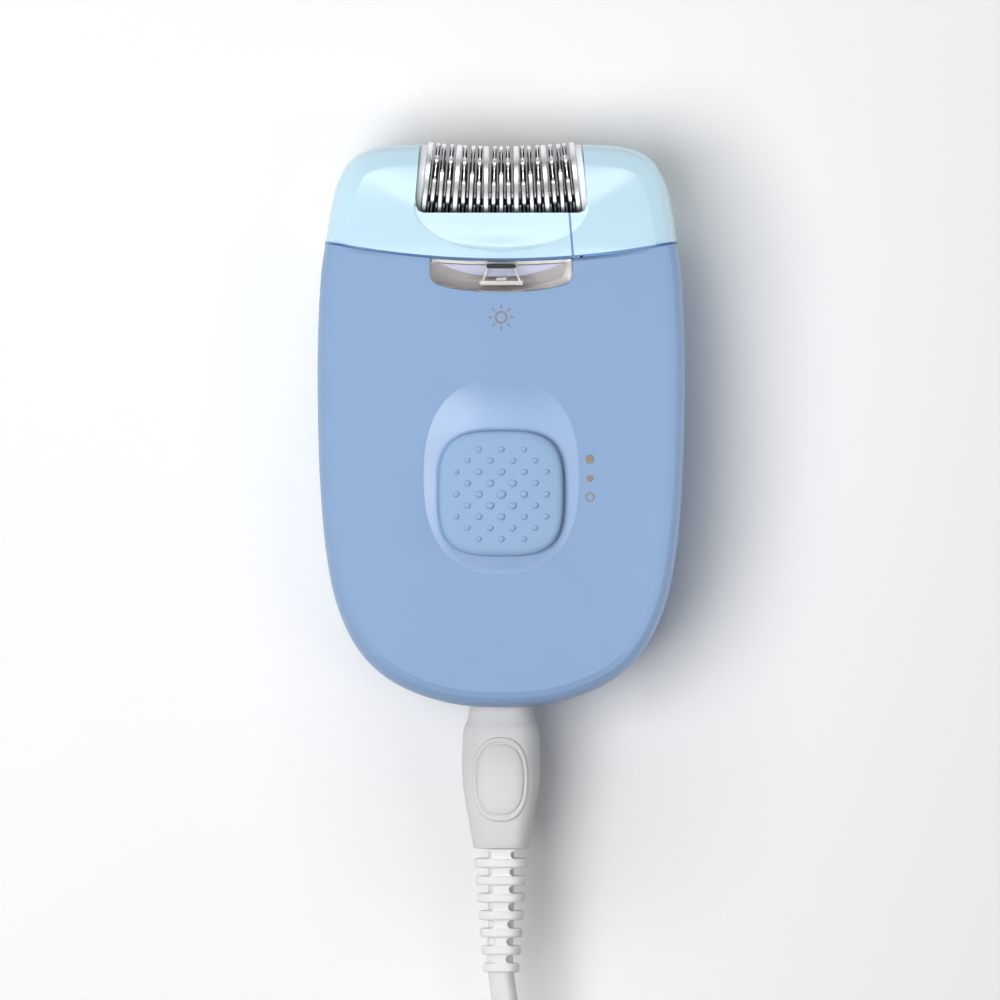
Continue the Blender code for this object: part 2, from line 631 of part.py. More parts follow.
def build_cord(white, steel):
    """Plug, strain relief, lead, coil and wall adapter."""
    add_solid("appliance_plug",
              plug_section([(-41.4, 4.2, 3.4), (-47.4, 4.2, 3.4), (-47.41, 5.4, 4.5),
                            (-50.0, 5.7, 4.8), (-52.0, 6.5, 5.3), (-58.0, 6.7, 5.5),
                            (-65.0, 5.9, 5.1), (-72.0, 4.7, 4.3)]), white)
    for side, x in (("left", -2.2), ("right", 2.2)):
        boolean(bpy.data.objects["appliance_plug"], f"plug_bore_{side}",
                rod([(-46.0, 0.9), (-41.0, 0.9)], 10, "Y"), origin=(x, 0.0, PLUG_Z))

    profile = [(-72.3, 2.5), (-72.3, 3.2)]
    for k in range(RIB_COUNT):
        start = RIB_START_Y - k * RIB_PITCH
        radius = 4.55 - 0.14 * k
        profile += [(start, 3.0), (start - 0.01, radius), (start - RIB_LENGTH, radius),
                    (start - RIB_LENGTH - 0.01, 3.0)]
    end = RIB_START_Y - (RIB_COUNT - 1) * RIB_PITCH - RIB_LENGTH
    profile[-1] = (end, 2.5)
    add_solid("strain_relief", turned(profile, 14, "Y"), white, (0.0, 0.0, PLUG_Z))

    lead = [(0.0, -72.6, PLUG_Z), (0.0, -83.0, PLUG_Z), (0.0, -93.5, PLUG_Z),
            (2.2, -102.5, 13.8), (9.0, -110.8, 8.0), (19.2, -117.0, 4.0), (28.6, -126.2, 2.7),
            (34.2, -138.2, 2.5)]
    tube("cord_lead", smooth_route(lead, 7.0), LEAD_RADIUS, white)
    half = COIL_HALF
    ring = [(0.0, COIL_RADIUS - half), (2 * half, COIL_RADIUS - half),
            (2 * half, COIL_RADIUS + half), (0.0, COIL_RADIUS + half)]
    add_solid("cord_coil", turned(ring, 36, "Z"), white, (*COIL_CENTRE, 0.0))
    tail = [(22.0, -150.0, 15.8), (20.0, -160.6, 15.8), (13.4, -171.0, 15.8),
            (5.6, -180.0, 15.8), (0.8, -187.5, 14.6), (0.0, -194.6, ADAPTER_Z)]
    tube("cord_tail", smooth_route(tail, 7.0), LEAD_RADIUS, white)

    block = []
    for y, half_x, half_z in ((ADAPTER_Y, 6.0, 6.0), (ADAPTER_Y - 4.0, 11.0, 10.0),
                              (ADAPTER_Y - 10.0, 17.0, 13.4), (ADAPTER_Y - 16.0, 18.5, 14.0),
                              (ADAPTER_Y - ADAPTER_LENGTH + 2.0, 18.5, 14.0),
                              (ADAPTER_Y - ADAPTER_LENGTH, 17.5, 13.0)):
        block.append([(x, y, ADAPTER_Z + z) for x, z in superellipse(half_x, half_z, 4.0, 24)])
    add_solid("adapter_housing", loft(block), white)
    back = ADAPTER_Y - ADAPTER_LENGTH - 0.3
    for side, x in (("left", -ADAPTER_PIN_PITCH / 2), ("right", ADAPTER_PIN_PITCH / 2)):
        add_solid(f"adapter_pin_{side}",
                  rod([(back, 2.0), (back - 17.0, 2.0), (back - 18.5, 1.2)], 14, "Y"), steel,
                  (x, 0.0, ADAPTER_Z))


def step_from(place, teeth_a, teeth_b, angle):
    """Centre of a meshing wheel, at the right centre distance along an angle."""
    distance = MODULE * (teeth_a + teeth_b) / 2.0
    return (place[0] + distance * math.cos(angle), place[1] + distance * math.sin(angle))


TRANSFER_YZ = step_from(HEAD_GEAR_YZ, HEAD_TEETH, TRANSFER_TEETH, math.pi)
BIG_YZ = step_from(TRANSFER_YZ, TRANSFER_TEETH, SMALL_TEETH, TRAIN_DROP_1)
MOTOR_YZ = step_from(BIG_YZ, BIG_TEETH, PINION_TEETH, TRAIN_DROP_2)


def main():
    """Build every piece."""
    clear_scene()
    blue = material("body_blue", (0.30, 0.44, 0.72), 0.42)
    pale = material("head_pale_blue", (0.62, 0.84, 0.94), 0.25)
    knob_blue = material("knob_blue", (0.33, 0.50, 0.76), 0.5)
    clear = material("window_clear", (0.80, 0.80, 0.82), 0.08)
    black = material("hood_black", (0.02, 0.02, 0.03), 0.4)
    lamp = material("lamp_white", (0.95, 0.93, 0.82), 0.2)
    dark = material("inner_dark", (0.12, 0.13, 0.15), 0.6)
    green = material("board_green", (0.05, 0.25, 0.12), 0.5)
    copper = material("contact_brass", (0.72, 0.50, 0.25), 0.35, 1.0)
    nylon = material("gear_nylon", (0.85, 0.84, 0.78), 0.5)
    steel = material("steel", (0.62, 0.63, 0.65), 0.25, 1.0)
    white = material("lead_white", (0.80, 0.80, 0.80), 0.5)
    build_housing(blue)
    build_light(clear, black, lamp)
    build_switch(knob_blue, dark)
    build_inside(dark, steel, green, copper, nylon)
    build_gears(steel, nylon)
    build_head(pale, steel, dark)
    build_cord(white, steel)


main()
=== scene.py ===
"""Looks of a corded epilator that lies on its back on a pale floor, seen from above.

Lengths in this file are in millimetres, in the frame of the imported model, and every
mesh is written in metres through MM.
"""
import math

import bmesh
import bpy
import numpy as np
from mathutils import Matrix, Vector


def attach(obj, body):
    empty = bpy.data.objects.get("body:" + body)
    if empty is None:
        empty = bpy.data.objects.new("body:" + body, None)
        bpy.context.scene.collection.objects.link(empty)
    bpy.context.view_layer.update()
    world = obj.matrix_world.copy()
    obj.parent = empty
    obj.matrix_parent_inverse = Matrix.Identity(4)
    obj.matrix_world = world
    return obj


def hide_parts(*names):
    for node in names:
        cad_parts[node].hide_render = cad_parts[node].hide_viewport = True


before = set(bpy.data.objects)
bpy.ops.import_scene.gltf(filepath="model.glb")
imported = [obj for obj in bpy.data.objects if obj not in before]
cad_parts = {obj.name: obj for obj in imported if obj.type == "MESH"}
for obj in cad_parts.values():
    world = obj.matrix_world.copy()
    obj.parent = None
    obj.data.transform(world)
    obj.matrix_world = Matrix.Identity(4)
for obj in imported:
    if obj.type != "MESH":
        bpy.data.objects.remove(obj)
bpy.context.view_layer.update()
MM = 0.001

# --- Shared sizes of the housing -------------------------------------------------------
PARTING_Z = 17.0
PARTING_GAP = 0.12
SEAM_MID_Y = 27.9
SEAM_RISE = 3.1
SEAM_HALF = 30.0
SEAM_GAP = 0.24
FRONT_EDGE_Z = 30.4
FRONT_CROWN = 2.6
SHELL_WALL = 2.0
FACE_INSET = 2.8
DRUM_Z = 17.0
DRUM_Y = 38.6
AXLE_BEND = 119.0
DISC_COUNT = 21
DISC_PITCH = 1.287
BODY_EDGE = [(29.9, 31.0), (30.7, 25.0), (31.2, 14.0), (31.2, 2.0), (30.8, -10.0),
             (29.8, -21.5), (27.8, -31.0), (24.0, -38.6), (18.2, -43.8), (9.6, -47.1),
             (0.0, -48.0)]
HEAD_EDGE = [(29.9, 31.0), (29.1, 36.3), (27.9, 41.2), (25.4, 45.3), (20.6, 47.4),
             (12.0, 47.85), (0.0, 47.85)]
PLUG_Z = 16.0
ADAPTER_Z = 14.0
KNOB_Y = -11.65
KNOB_BASE_Z = 31.3
KNOB_HEIGHT = 2.94
MARK_ROOT = -0.03
MARK_TOP = 0.05
DISH_Y = -8.8
DISH_HALF_X = 13.1
DISH_HALF_Y = 16.4
DISH_POWER = 2.45
DISH_FLOOR_Z = 30.9
COIL_CENTRE = (0.0, -147.0)
COIL_RADIUS = 26.0
CORD_RADIUS = 2.2


# =======================================================================================
# Camera, floor and light
# =======================================================================================
def make_camera():
    """Long lens straight above the front face."""
    data = bpy.data.cameras.new("camera")
    data.lens = 400.0
    data.sensor_width = 36.0
    data.clip_start = 0.01
    camera = bpy.data.objects.new("camera", data)
    bpy.context.scene.collection.objects.link(camera)
    front_z, view_width = 0.020, 0.170
    camera.location = (-0.0002, -0.0127,
                       front_z + view_width * data.lens / data.sensor_width)
    bpy.context.scene.camera = camera


def area_light(name, place, aim, size, power, shade=True, shine=True):
    """Soft rectangular lamp aimed at a point, for shading, for reflections or for both."""
    data = bpy.data.lights.new(name, "AREA")
    data.shape = "RECTANGLE"
    data.size, data.size_y = size
    data.energy = power
    lamp = bpy.data.objects.new(name, data)
    bpy.context.scene.collection.objects.link(lamp)
    lamp.location = place
    lamp.visible_camera = False
    lamp.visible_diffuse = shade
    lamp.visible_glossy = shine
    lamp.rotation_euler = (Vector(aim) - Vector(place)).to_track_quat("-Z", "Y").to_euler()
    return lamp


def make_studio():
    """White floor, white surroundings and soft lamps."""
    mesh = bpy.data.meshes.new("floor")
    mesh.from_pydata([(-3, -3, 0), (3, -3, 0), (3, 3, 0), (-3, 3, 0)], [], [(0, 1, 2, 3)])
    floor = bpy.data.objects.new("floor", mesh)
    bpy.context.scene.collection.objects.link(floor)
    floor.location.z = -0.0002
    paint = bpy.data.materials.new("floor_paint")
    paint.use_nodes = True
    shader = paint.node_tree.nodes["Principled BSDF"]
    shader.inputs["Base Color"].default_value = (0.94, 0.94, 0.94, 1.0)
    shader.inputs["Roughness"].default_value = 0.9
    shader.inputs["Specular IOR Level"].default_value = 0.1
    mesh.materials.append(paint)

    world = bpy.data.worlds.new("studio")
    world.use_nodes = True
    world.node_tree.nodes["Background"].inputs["Color"].default_value = (1.0, 1.0, 1.0, 1.0)
    world.node_tree.nodes["Background"].inputs["Strength"].default_value = 0.06
    bpy.context.scene.world = world
    key_place, glow_place, middle = (-0.26, -0.10, 0.66), (0.27, -0.15, 0.55), (0.0, 0.0, 0.0)
    area_light("key", key_place, middle, (0.42, 0.46), 4.25, shine=False)
    area_light("key_shine", key_place, middle, (0.42, 0.46), 1.9, shade=False)
    area_light("upper", (-0.06, 0.46, 0.37), middle, (0.36, 0.14), 1.05)
    area_light("glow", glow_place, middle, (0.14, 0.22), 0.18)
    area_light("glow_shine", glow_place, middle, (0.34, 0.46), 2.6, shade=False)
    area_light("strip", (0.14, 0.0, 0.62), (0.01, 0.0, 0.0), (0.05, 0.40), 0.10)
    bpy.context.scene.view_settings.view_transform = "Standard"


def edge_lamps(names):
    """Low side lamps that brighten the rims of the shells and the head, and only those."""
    shells = bpy.data.collections.new("edge_lit")
    for name in names:
        shells.objects.link(bpy.data.objects[name])
    for side, power in ((-1.0, 0.25), (1.0, 1.0)):
        lamp = area_light("edge", (side * 0.45, -0.02, 0.085), (0.0, -0.02, 0.02),
                          (0.12, 0.30), power)
        lamp.light_linking.receiver_collection = shells


# =======================================================================================
# Materials
# =======================================================================================
def linear(r, g, b):
    """Linear colour of an 8-bit display colour."""
    return tuple(((c / 255.0 + 0.055) / 1.055) ** 2.4 if c > 10 else c / 3294.6
                 for c in (r, g, b))


def finish(name, colour, roughness, grain=3000.0, relief=0.02, mottle=0.03, metallic=0.0,
           coat=0.0, subsurface=0.0, stretch=(1.0, 1.0, 1.0), transmission=0.0,
           rough_spread=0.06, ior=1.46, gleam=0.5):
    """Moulded, brushed or printed surface: mottled colour, uneven gloss and fine relief."""
    made = bpy.data.materials.new(name)
    made.use_nodes = True
    nodes = made.node_tree.nodes
    links = made.node_tree.links
    shader = nodes["Principled BSDF"]
    shader.inputs["Metallic"].default_value = metallic
    shader.inputs["Coat Weight"].default_value = coat
    shader.inputs["Coat Roughness"].default_value = 0.12
    shader.inputs["Subsurface Weight"].default_value = subsurface
    shader.inputs["Subsurface Radius"].default_value = (0.004, 0.004, 0.005)
    shader.inputs["Transmission Weight"].default_value = transmission
    shader.inputs["IOR"].default_value = ior
    shader.inputs["Specular IOR Level"].default_value = gleam

    place = nodes.new("ShaderNodeTexCoord")
    scale = nodes.new("ShaderNodeMapping")
    scale.inputs["Scale"].default_value = stretch
    links.new(place.outputs["Object"], scale.inputs["Vector"])

    broad = nodes.new("ShaderNodeTexNoise")
    broad.inputs["Scale"].default_value = grain / 40.0
    broad.inputs["Detail"].default_value = 5.0
    links.new(scale.outputs["Vector"], broad.inputs["Vector"])
    ramp = nodes.new("ShaderNodeValToRGB")
    low = [max(c * (1.0 - mottle), 0.0) for c in colour]
    high = [min(c * (1.0 + mottle), 1.0) for c in colour]
    ramp.color_ramp.elements[0].position = 0.3
    ramp.color_ramp.elements[0].color = (*low, 1.0)
    ramp.color_ramp.elements[1].position = 0.7
    ramp.color_ramp.elements[1].color = (*high, 1.0)
    links.new(broad.outputs["Fac"], ramp.inputs["Fac"])
    links.new(ramp.outputs["Color"], shader.inputs["Base Color"])

    fine = nodes.new("ShaderNodeTexNoise")
    fine.inputs["Scale"].default_value = grain
    fine.inputs["Detail"].default_value = 3.0
    links.new(scale.outputs["Vector"], fine.inputs["Vector"])
    gloss = nodes.new("ShaderNodeMapRange")
    gloss.inputs["To Min"].default_value = max(roughness - rough_spread, 0.02)
    gloss.inputs["To Max"].default_value = min(roughness + rough_spread, 1.0)
    links.new(broad.outputs["Fac"], gloss.inputs["Value"])
    links.new(gloss.outputs["Result"], shader.inputs["Roughness"])
    bump = nodes.new("ShaderNodeBump")
    bump.inputs["Strength"].default_value = min(relief * 10.0, 1.0)
    bump.inputs["Distance"].default_value = relief * MM
    links.new(fine.outputs["Fac"], bump.inputs["Height"])
    links.new(bump.outputs["Normal"], shader.inputs["Normal"])
    return made


# =======================================================================================
# Mesh helpers
# =======================================================================================
def piece(name, verts, faces, looks, body, slot, replaces=(), sharp=30.0, groups=None,
          merge=False):
    """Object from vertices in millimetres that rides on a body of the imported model."""
    mesh = bpy.data.meshes.new(name)
    mesh.from_pydata((np.asarray(verts, float) * MM).tolist(), [], faces)
    looks = looks if isinstance(looks, (list, tuple)) else [looks]
    for look in looks:
        mesh.materials.append(look)
    if groups is not None:
        mesh.polygons.foreach_set("material_index", groups)
    shell = bmesh.new()
    shell.from_mesh(mesh)
    if merge:
        bmesh.ops.remove_doubles(shell, verts=shell.verts, dist=1e-7)
    bmesh.ops.recalc_face_normals(shell, faces=shell.faces)
    shell.to_mesh(mesh)
    shell.free()
    mesh.shade_smooth()
    mesh.set_sharp_from_angle(angle=math.radians(sharp))
    item = bpy.data.objects.new(name, mesh)
    bpy.context.scene.collection.objects.link(item)
    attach(item, body)
    if replaces:
        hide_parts(*replaces)
    return item


def loft(loops, caps=True, ring=False):
    """Vertices and faces through loops of equal length, capped or joined end to end."""
    count = len(loops[0])
    verts = [tuple(p) for loop in loops for p in loop]
    faces = []
    for level in range(len(loops) - 1):
        low = level * count
        high = low + count
        faces += [(low + i, low + (i + 1) % count, high + (i + 1) % count, high + i)
                  for i in range(count)]
    last = len(verts) - count
    if ring:
        faces += [(last + i, last + (i + 1) % count, (i + 1) % count, i)
                  for i in range(count)]
    elif caps:
        faces.append(tuple(range(count)))
        faces.append(tuple(range(last, len(verts))))
    return verts, faces


def level(flat, z):
    """Loop of (X, Y) points at one height, or each at its own."""
    return np.column_stack([flat, np.full(len(flat), z)])


def prism(flat, low, high):
    """Straight solid over an (X, Y) outline."""
    return loft([[(x, y, z) for x, y in flat] for z in (low, high)])


def merged(*shapes):
    """Several shapes in one list of vertices and faces."""
    verts, faces = [], []
    for shape_verts, shape_faces in shapes:
        start = len(verts)
        verts += [tuple(v) for v in shape_verts]
        faces += [tuple(start + i for i in face) for face in shape_faces]
    return verts, faces


def turned(profile, segments, axis="X"):
    """Ring turned from a closed (along, radius) profile."""
    loops = []
    for k in range(segments):
        angle = 2.0 * math.pi * k / segments
        c, s = math.cos(angle), math.sin(angle)
        loops.append([{"X": (a, r * c, r * s), "Y": (r * c, a, r * s),
                       "Z": (r * c, r * s, a)}[axis] for a, r in profile])
    size = len(profile)
    verts = [p for loop in loops for p in loop]
    faces = [(k * size + i, k * size + (i + 1) % size,
              ((k + 1) % segments) * size + (i + 1) % size, ((k + 1) % segments) * size + i)
             for k in range(segments) for i in range(size)]
    return verts, faces


def superellipse(half_x, half_y, power, count):
    """Squircle-like outline about the origin."""
    points = []
    for k in range(count):
        angle = 2.0 * math.pi * k / count
        c, s = math.cos(angle), math.sin(angle)
        points.append((math.copysign(abs(c) ** (2.0 / power), c) * half_x,
                       math.copysign(abs(s) ** (2.0 / power), s) * half_y))
    return points


def block(low, high):
    """Rectangular block."""
    flat = [(low[0], low[1]), (high[0], low[1]), (high[0], high[1]), (low[0], high[1])]
    return prism(flat, low[2], high[2])


def cut(target, name, shape, operation="DIFFERENCE"):
    """Apply a Boolean with a shape and drop the shape."""
    verts, faces = shape
    mesh = bpy.data.meshes.new(name)
    mesh.from_pydata((np.asarray(verts, float) * MM).tolist(), [], faces)
    shell = bmesh.new()
    shell.from_mesh(mesh)
    bmesh.ops.recalc_face_normals(shell, faces=shell.faces)
    shell.to_mesh(mesh)
    shell.free()
    blank = bmesh.new()
    blank.from_mesh(target.data)
    many = [face for face in blank.faces if len(face.verts) > 4]
    bmesh.ops.triangulate(blank, faces=many)
    blank.to_mesh(target.data)
    blank.free()
    tool = bpy.data.objects.new(name, mesh)
    bpy.context.scene.collection.objects.link(tool)
    step = target.modifiers.new(name, "BOOLEAN")
    step.operation = operation
    step.solver = "EXACT"
    step.object = tool
    bpy.context.view_layer.update()
    shaped = bpy.data.meshes.new_from_object(
        target.evaluated_get(bpy.context.evaluated_depsgraph_get()))
    target.modifiers.clear()
    old = target.data
    target.data = shaped
    shaped.name = old.name
    bpy.data.meshes.remove(old)
    bpy.data.objects.remove(tool, do_unlink=True)
    bpy.data.meshes.remove(mesh)


def spline(knots, per_span):
    """Smooth curve through points of any dimension."""
    knots = np.asarray(knots, float)
    ends = np.vstack([2 * knots[0] - knots[1], knots, 2 * knots[-1] - knots[-2]])
    points = []
    for i in range(1, len(ends) - 2):
        for k in range(per_span):
            t = k / per_span
            points.append(0.5 * (2 * ends[i] + (ends[i + 1] - ends[i - 1]) * t
                                 + (2 * ends[i - 1] - 5 * ends[i] + 4 * ends[i + 1]
                                    - ends[i + 2]) * t * t
                                 + (3 * ends[i] - ends[i - 1] - 3 * ends[i + 1]
                                    + ends[i + 2]) * t ** 3))
    points.append(knots[-1])
    return np.array(points)


def seam(x):
    """Y of the head/body seam."""
    return SEAM_MID_Y + SEAM_RISE * (np.asarray(x) / SEAM_HALF) ** 2


def edge_curve(edge, per_span=14):
    """Dense right-hand edge of the housing, square to X = 0 at its end."""
    mirrored = edge + [(-edge[-2][0], edge[-2][1])]
    return spline(mirrored, per_span)[:(len(edge) - 1) * per_span + 1]


def outline(edge, inset, scale, gap, across=56):
    """Closed outline: right edge, left edge, then back along the seam."""
    curve = edge_curve(edge)
    ahead = np.vstack([curve[1:], [-curve[-2][0], curve[-2][1]]])
    behind = np.vstack([curve[:1], curve[:-1]])
    along = ahead - behind
    along /= np.linalg.norm(along, axis=1)[:, None]
    side = 1.0 if edge[-1][1] < 0.0 else -1.0
    right = curve + side * inset * np.stack([along[:, 1], -along[:, 0]], axis=1)
    corner = edge[0][0] - inset
    right[0] = (corner, seam(corner) + gap)
    right[-1, 0] = 0.0
    keep = np.ones(len(right), bool)
    keep[1:4] = side * (right[1:4, 1] - right[0, 1]) < 0.0
    right[1:4][~keep[1:4]] = right[0]
    left = right[:-1][::-1] * (-1.0, 1.0)
    x = corner * (2.0 * np.arange(1, across) / across - 1.0)
    loop = np.vstack([right, left, np.stack([x, seam(x) + gap], axis=1)])
    drop = loop[:, 1] - seam(loop[:, 0]) - gap
    x = scale * loop[:, 0]
    return np.stack([x, seam(x) + gap + scale * drop], axis=1)


# Polar edge of the front face in (X, distance below the seam) space.
FACE = outline(BODY_EDGE, FACE_INSET, 1.0, -SEAM_GAP)
FACE_DROP = seam(FACE[:, 0]) - SEAM_GAP - FACE[:, 1]
FACE_ANGLE = np.arctan2(FACE_DROP, FACE[:, 0])
FACE_REACH = np.hypot(FACE_DROP, FACE[:, 0])
FACE_ORDER = np.argsort(FACE_ANGLE)


def front_height(x, y):
    """Height of the crowned front face before its recess."""
    x = np.asarray(x, float)
    drop = np.maximum(seam(x) - SEAM_GAP - np.asarray(y, float), 0.0)
    angle = np.arctan2(drop, x)
    edge = np.interp(angle, FACE_ANGLE[FACE_ORDER], FACE_REACH[FACE_ORDER])
    share = np.minimum(np.hypot(drop, x) / edge, 1.0)
    return FRONT_EDGE_Z + FRONT_CROWN * (1.0 - share ** 2)


def dish_reach(x, y):
    """Distance from the recess's centre as a share of its edge."""
    return ((np.abs(x) / DISH_HALF_X) ** DISH_POWER
            + (np.abs(np.asarray(y) - DISH_Y) / DISH_HALF_Y) ** DISH_POWER
            ) ** (1.0 / DISH_POWER)


def face_height(x, y):
    """Height of the front face with its recess."""
    top = front_height(x, y)
    share = dish_reach(x, y)
    inside = DISH_FLOOR_Z + (top - DISH_FLOOR_Z) * np.clip(share, 0.0, 1.0) ** 2.6
    return np.where(share < 1.0, inside, top)


# =======================================================================================
# Housing
# =======================================================================================
def lens_outline(grow, beyond):
    """Edge of the light window, from the seam down to a shallow arc."""
    half = 12.05 + grow
    corner = spline([(half, 26.2), (half - 0.02, 25.3), (half - 0.3, 24.45),
                     (half - 1.2, 23.75 - grow), (half - 3.0, 23.25 - grow)], 6)
    arc = [(x, 22.4 - grow + 0.0094 * x * x) for x in np.linspace(half - 3.4, 3.4 - half, 25)]
    points = corner.tolist() + arc + [(-x, y) for x, y in reversed(corner.tolist())]
    points += [(x, float(seam(x)) - SEAM_GAP + beyond) for x in np.linspace(-half, half, 41)]
    return points


def cut_inlet(shell):
    """Opening for the inlet at the plug's end of a shell."""
    oval = superellipse(6.0, 5.2, 2.6, 64)
    cut(shell, "inlet_cut", loft([[(x, y, PLUG_Z + z) for x, z in oval] for y in (-50.0, -43.0)]))


def make_front(blue, polished):
    """Front shell with the crowned face, rolled rim and switch recess."""
    low = PARTING_Z + PARTING_GAP
    rim = spline([(0.0, low), (0.02, 19.0), (0.12, 23.0), (0.3, 26.0), (0.62, 28.0),
                  (0.98, 28.95), (1.42, 29.62)], 6)
    rim = np.vstack([[(0.35, low), (0.1, 17.2)], rim[1:],
                     [(1.62, 29.86), (1.72, 29.95), (1.86, 30.02), (FACE_INSET, FRONT_EDGE_Z)]])
    loops = [level(outline(BODY_EDGE, inset, 1.0, -SEAM_GAP), z) for inset, z in rim]
    edge = loops[-1][:, :2]
    angle = np.arctan2(edge[:, 1] - DISH_Y, edge[:, 0])
    c, s = np.cos(angle), np.sin(angle)
    reach = (np.abs(c) / DISH_HALF_X) ** DISH_POWER + (np.abs(s) / DISH_HALF_Y) ** DISH_POWER
    reach = 1.0 / reach ** (1 / DISH_POWER)
    lip = np.stack([c * reach, DISH_Y + s * reach], axis=1)
    face_steps = 37
    for t in np.linspace(0.0, 1.0, face_steps):
        flat = edge + (lip - edge) * t
        loops.append(level(flat, front_height(flat[:, 0], flat[:, 1])))
    centre = np.array([0.0, DISH_Y])
    for share in (0.997, 0.992, 0.985, 0.975, 0.96, 0.94, 0.92, 0.9, 0.875, 0.85, 0.82, 0.78,
                  0.74, 0.7, 0.64, 0.57, 0.5, 0.4, 0.25, 0.1):
        flat = centre + (lip - centre) * share
        loops.append(level(flat, face_height(flat[:, 0], flat[:, 1])))
    inside = -SEAM_GAP - SHELL_WALL
    inner = [level(outline(BODY_EDGE, inset, 1.0, inside), z)
             for inset, z in ((2.2, low), (2.4, 22.0), (3.6, 27.2), (4.4, 27.9))]
    inner += [level(outline(BODY_EDGE, 4.4, share, inside), 27.9 + 1.3 * (1 - share ** 2))
              for share in (0.7, 0.4, 0.1)]
    verts, faces = loft(list(reversed(inner)) + loops)
    dish_from = (len(inner) + len(rim) + face_steps - 1) * len(inner[0])
    groups = [1 if min(face) >= dish_from else 0 for face in faces]
    shell = piece("front_cover", verts, faces, [blue, polished], "housing", "body_blue",
                  ["front_shell"], 17, groups, merge=True)
    cut(shell, "window_cut", prism(lens_outline(0.03, 2.0), 26.2, 40.0))
    cut(shell, "wheel_cut", block((16.4, 20.0, 6.6), (20.6, 34.0, 27.2)))
    cut_inlet(shell)


def make_rear(blue):
    """Rear shell: deep rounded back with a flat to rest on."""
    high = PARTING_Z - PARTING_GAP
    rim = spline([(0.0, high), (0.1, 13.6), (0.5, 9.4), (1.5, 5.6), (3.4, 2.7), (6.2, 0.9),
                  (9.2, 0.12)], 6)
    rim = np.vstack([[(0.35, high), (0.1, 16.8)], rim[1:], [(9.6, 0.03)]])
    loops = [level(outline(BODY_EDGE, inset, 1.0, -SEAM_GAP), z) for inset, z in rim]
    loops += [level(outline(BODY_EDGE, 9.6, share, -SEAM_GAP), 0.02 * share)
              for share in (0.98, 0.9, 0.6, 0.3, 0.1)]
    inside = -SEAM_GAP - SHELL_WALL
    inner = [level(outline(BODY_EDGE, inset, 1.0, inside), z)
             for inset, z in ((2.2, high), (2.8, 10.5), (4.4, 6.0), (7.4, 3.2), (10.0, 2.5))]
    inner += [level(outline(BODY_EDGE, 10.0, share, inside), 2.45) for share in (0.5, 0.1)]
    verts, faces = loft(list(reversed(inner)) + loops)
    shell = piece("rear_cover", verts, faces, blue, "housing", "body_blue", ["rear_shell"], 26)
    cut(shell, "wheel_cut", block((16.4, 20.0, 6.8), (20.6, 34.0, 27.2)))
    cut_inlet(shell)
    for x in (-13.0, 13.0):
        well = [(x + 3.0 * math.cos(math.pi * k / 24), -31.0 + 3.0 * math.sin(math.pi * k / 24))
                for k in range(48)]
        cut(shell, "screw_cut", prism(well, -1.0, 2.4))


def head_solid(profile, gap, across=56):
    """Head solid that thins towards its top."""
    loops = []
    for inset, scale, z in profile:
        flat = outline(HEAD_EDGE, inset, scale, gap, across)
        reach = np.clip((flat[:, 1] - 30.0) / 17.8, 0.0, 1.0)
        thin = 1.0 - 0.38 * reach ** 1.3
        loops.append(level(flat, DRUM_Z + (z - DRUM_Z) * thin))
    return loft(loops)


def carve_head(shell, scoop, side, opening, operation="DIFFERENCE"):
    """Cut the scoop, the hollow, the limit at one side and the opening for the discs."""
    hollow = [(4.2, 0.04, 2.6), (4.2, 0.45, 2.65), (4.2, 0.76, 2.8), (4.2, 0.93, 4.0),
              (3.4, 1.0, 8.0), (1.9, 1.0, 14.0), (1.9, 1.0, 20.0), (2.8, 1.0, 24.6),
              (4.2, 0.94, 27.0), (4.2, 0.4, 29.0), (4.2, 0.04, 29.4)]
    rear = [(x, y if y > 45 else y + 1.6) for x, y in opening]
    cut(shell, "scoop_cut", loft(scoop))
    cut(shell, "hollow_cut", head_solid(hollow, SEAM_GAP - 3.0, 12))
    cut(shell, "side_cut", prism(side, -5.0, 40.0), operation)
    cut(shell, "front_cut", prism(opening, 11.0, 40.0))
    cut(shell, "rear_cut", prism(rear, -5.0, 13.0))


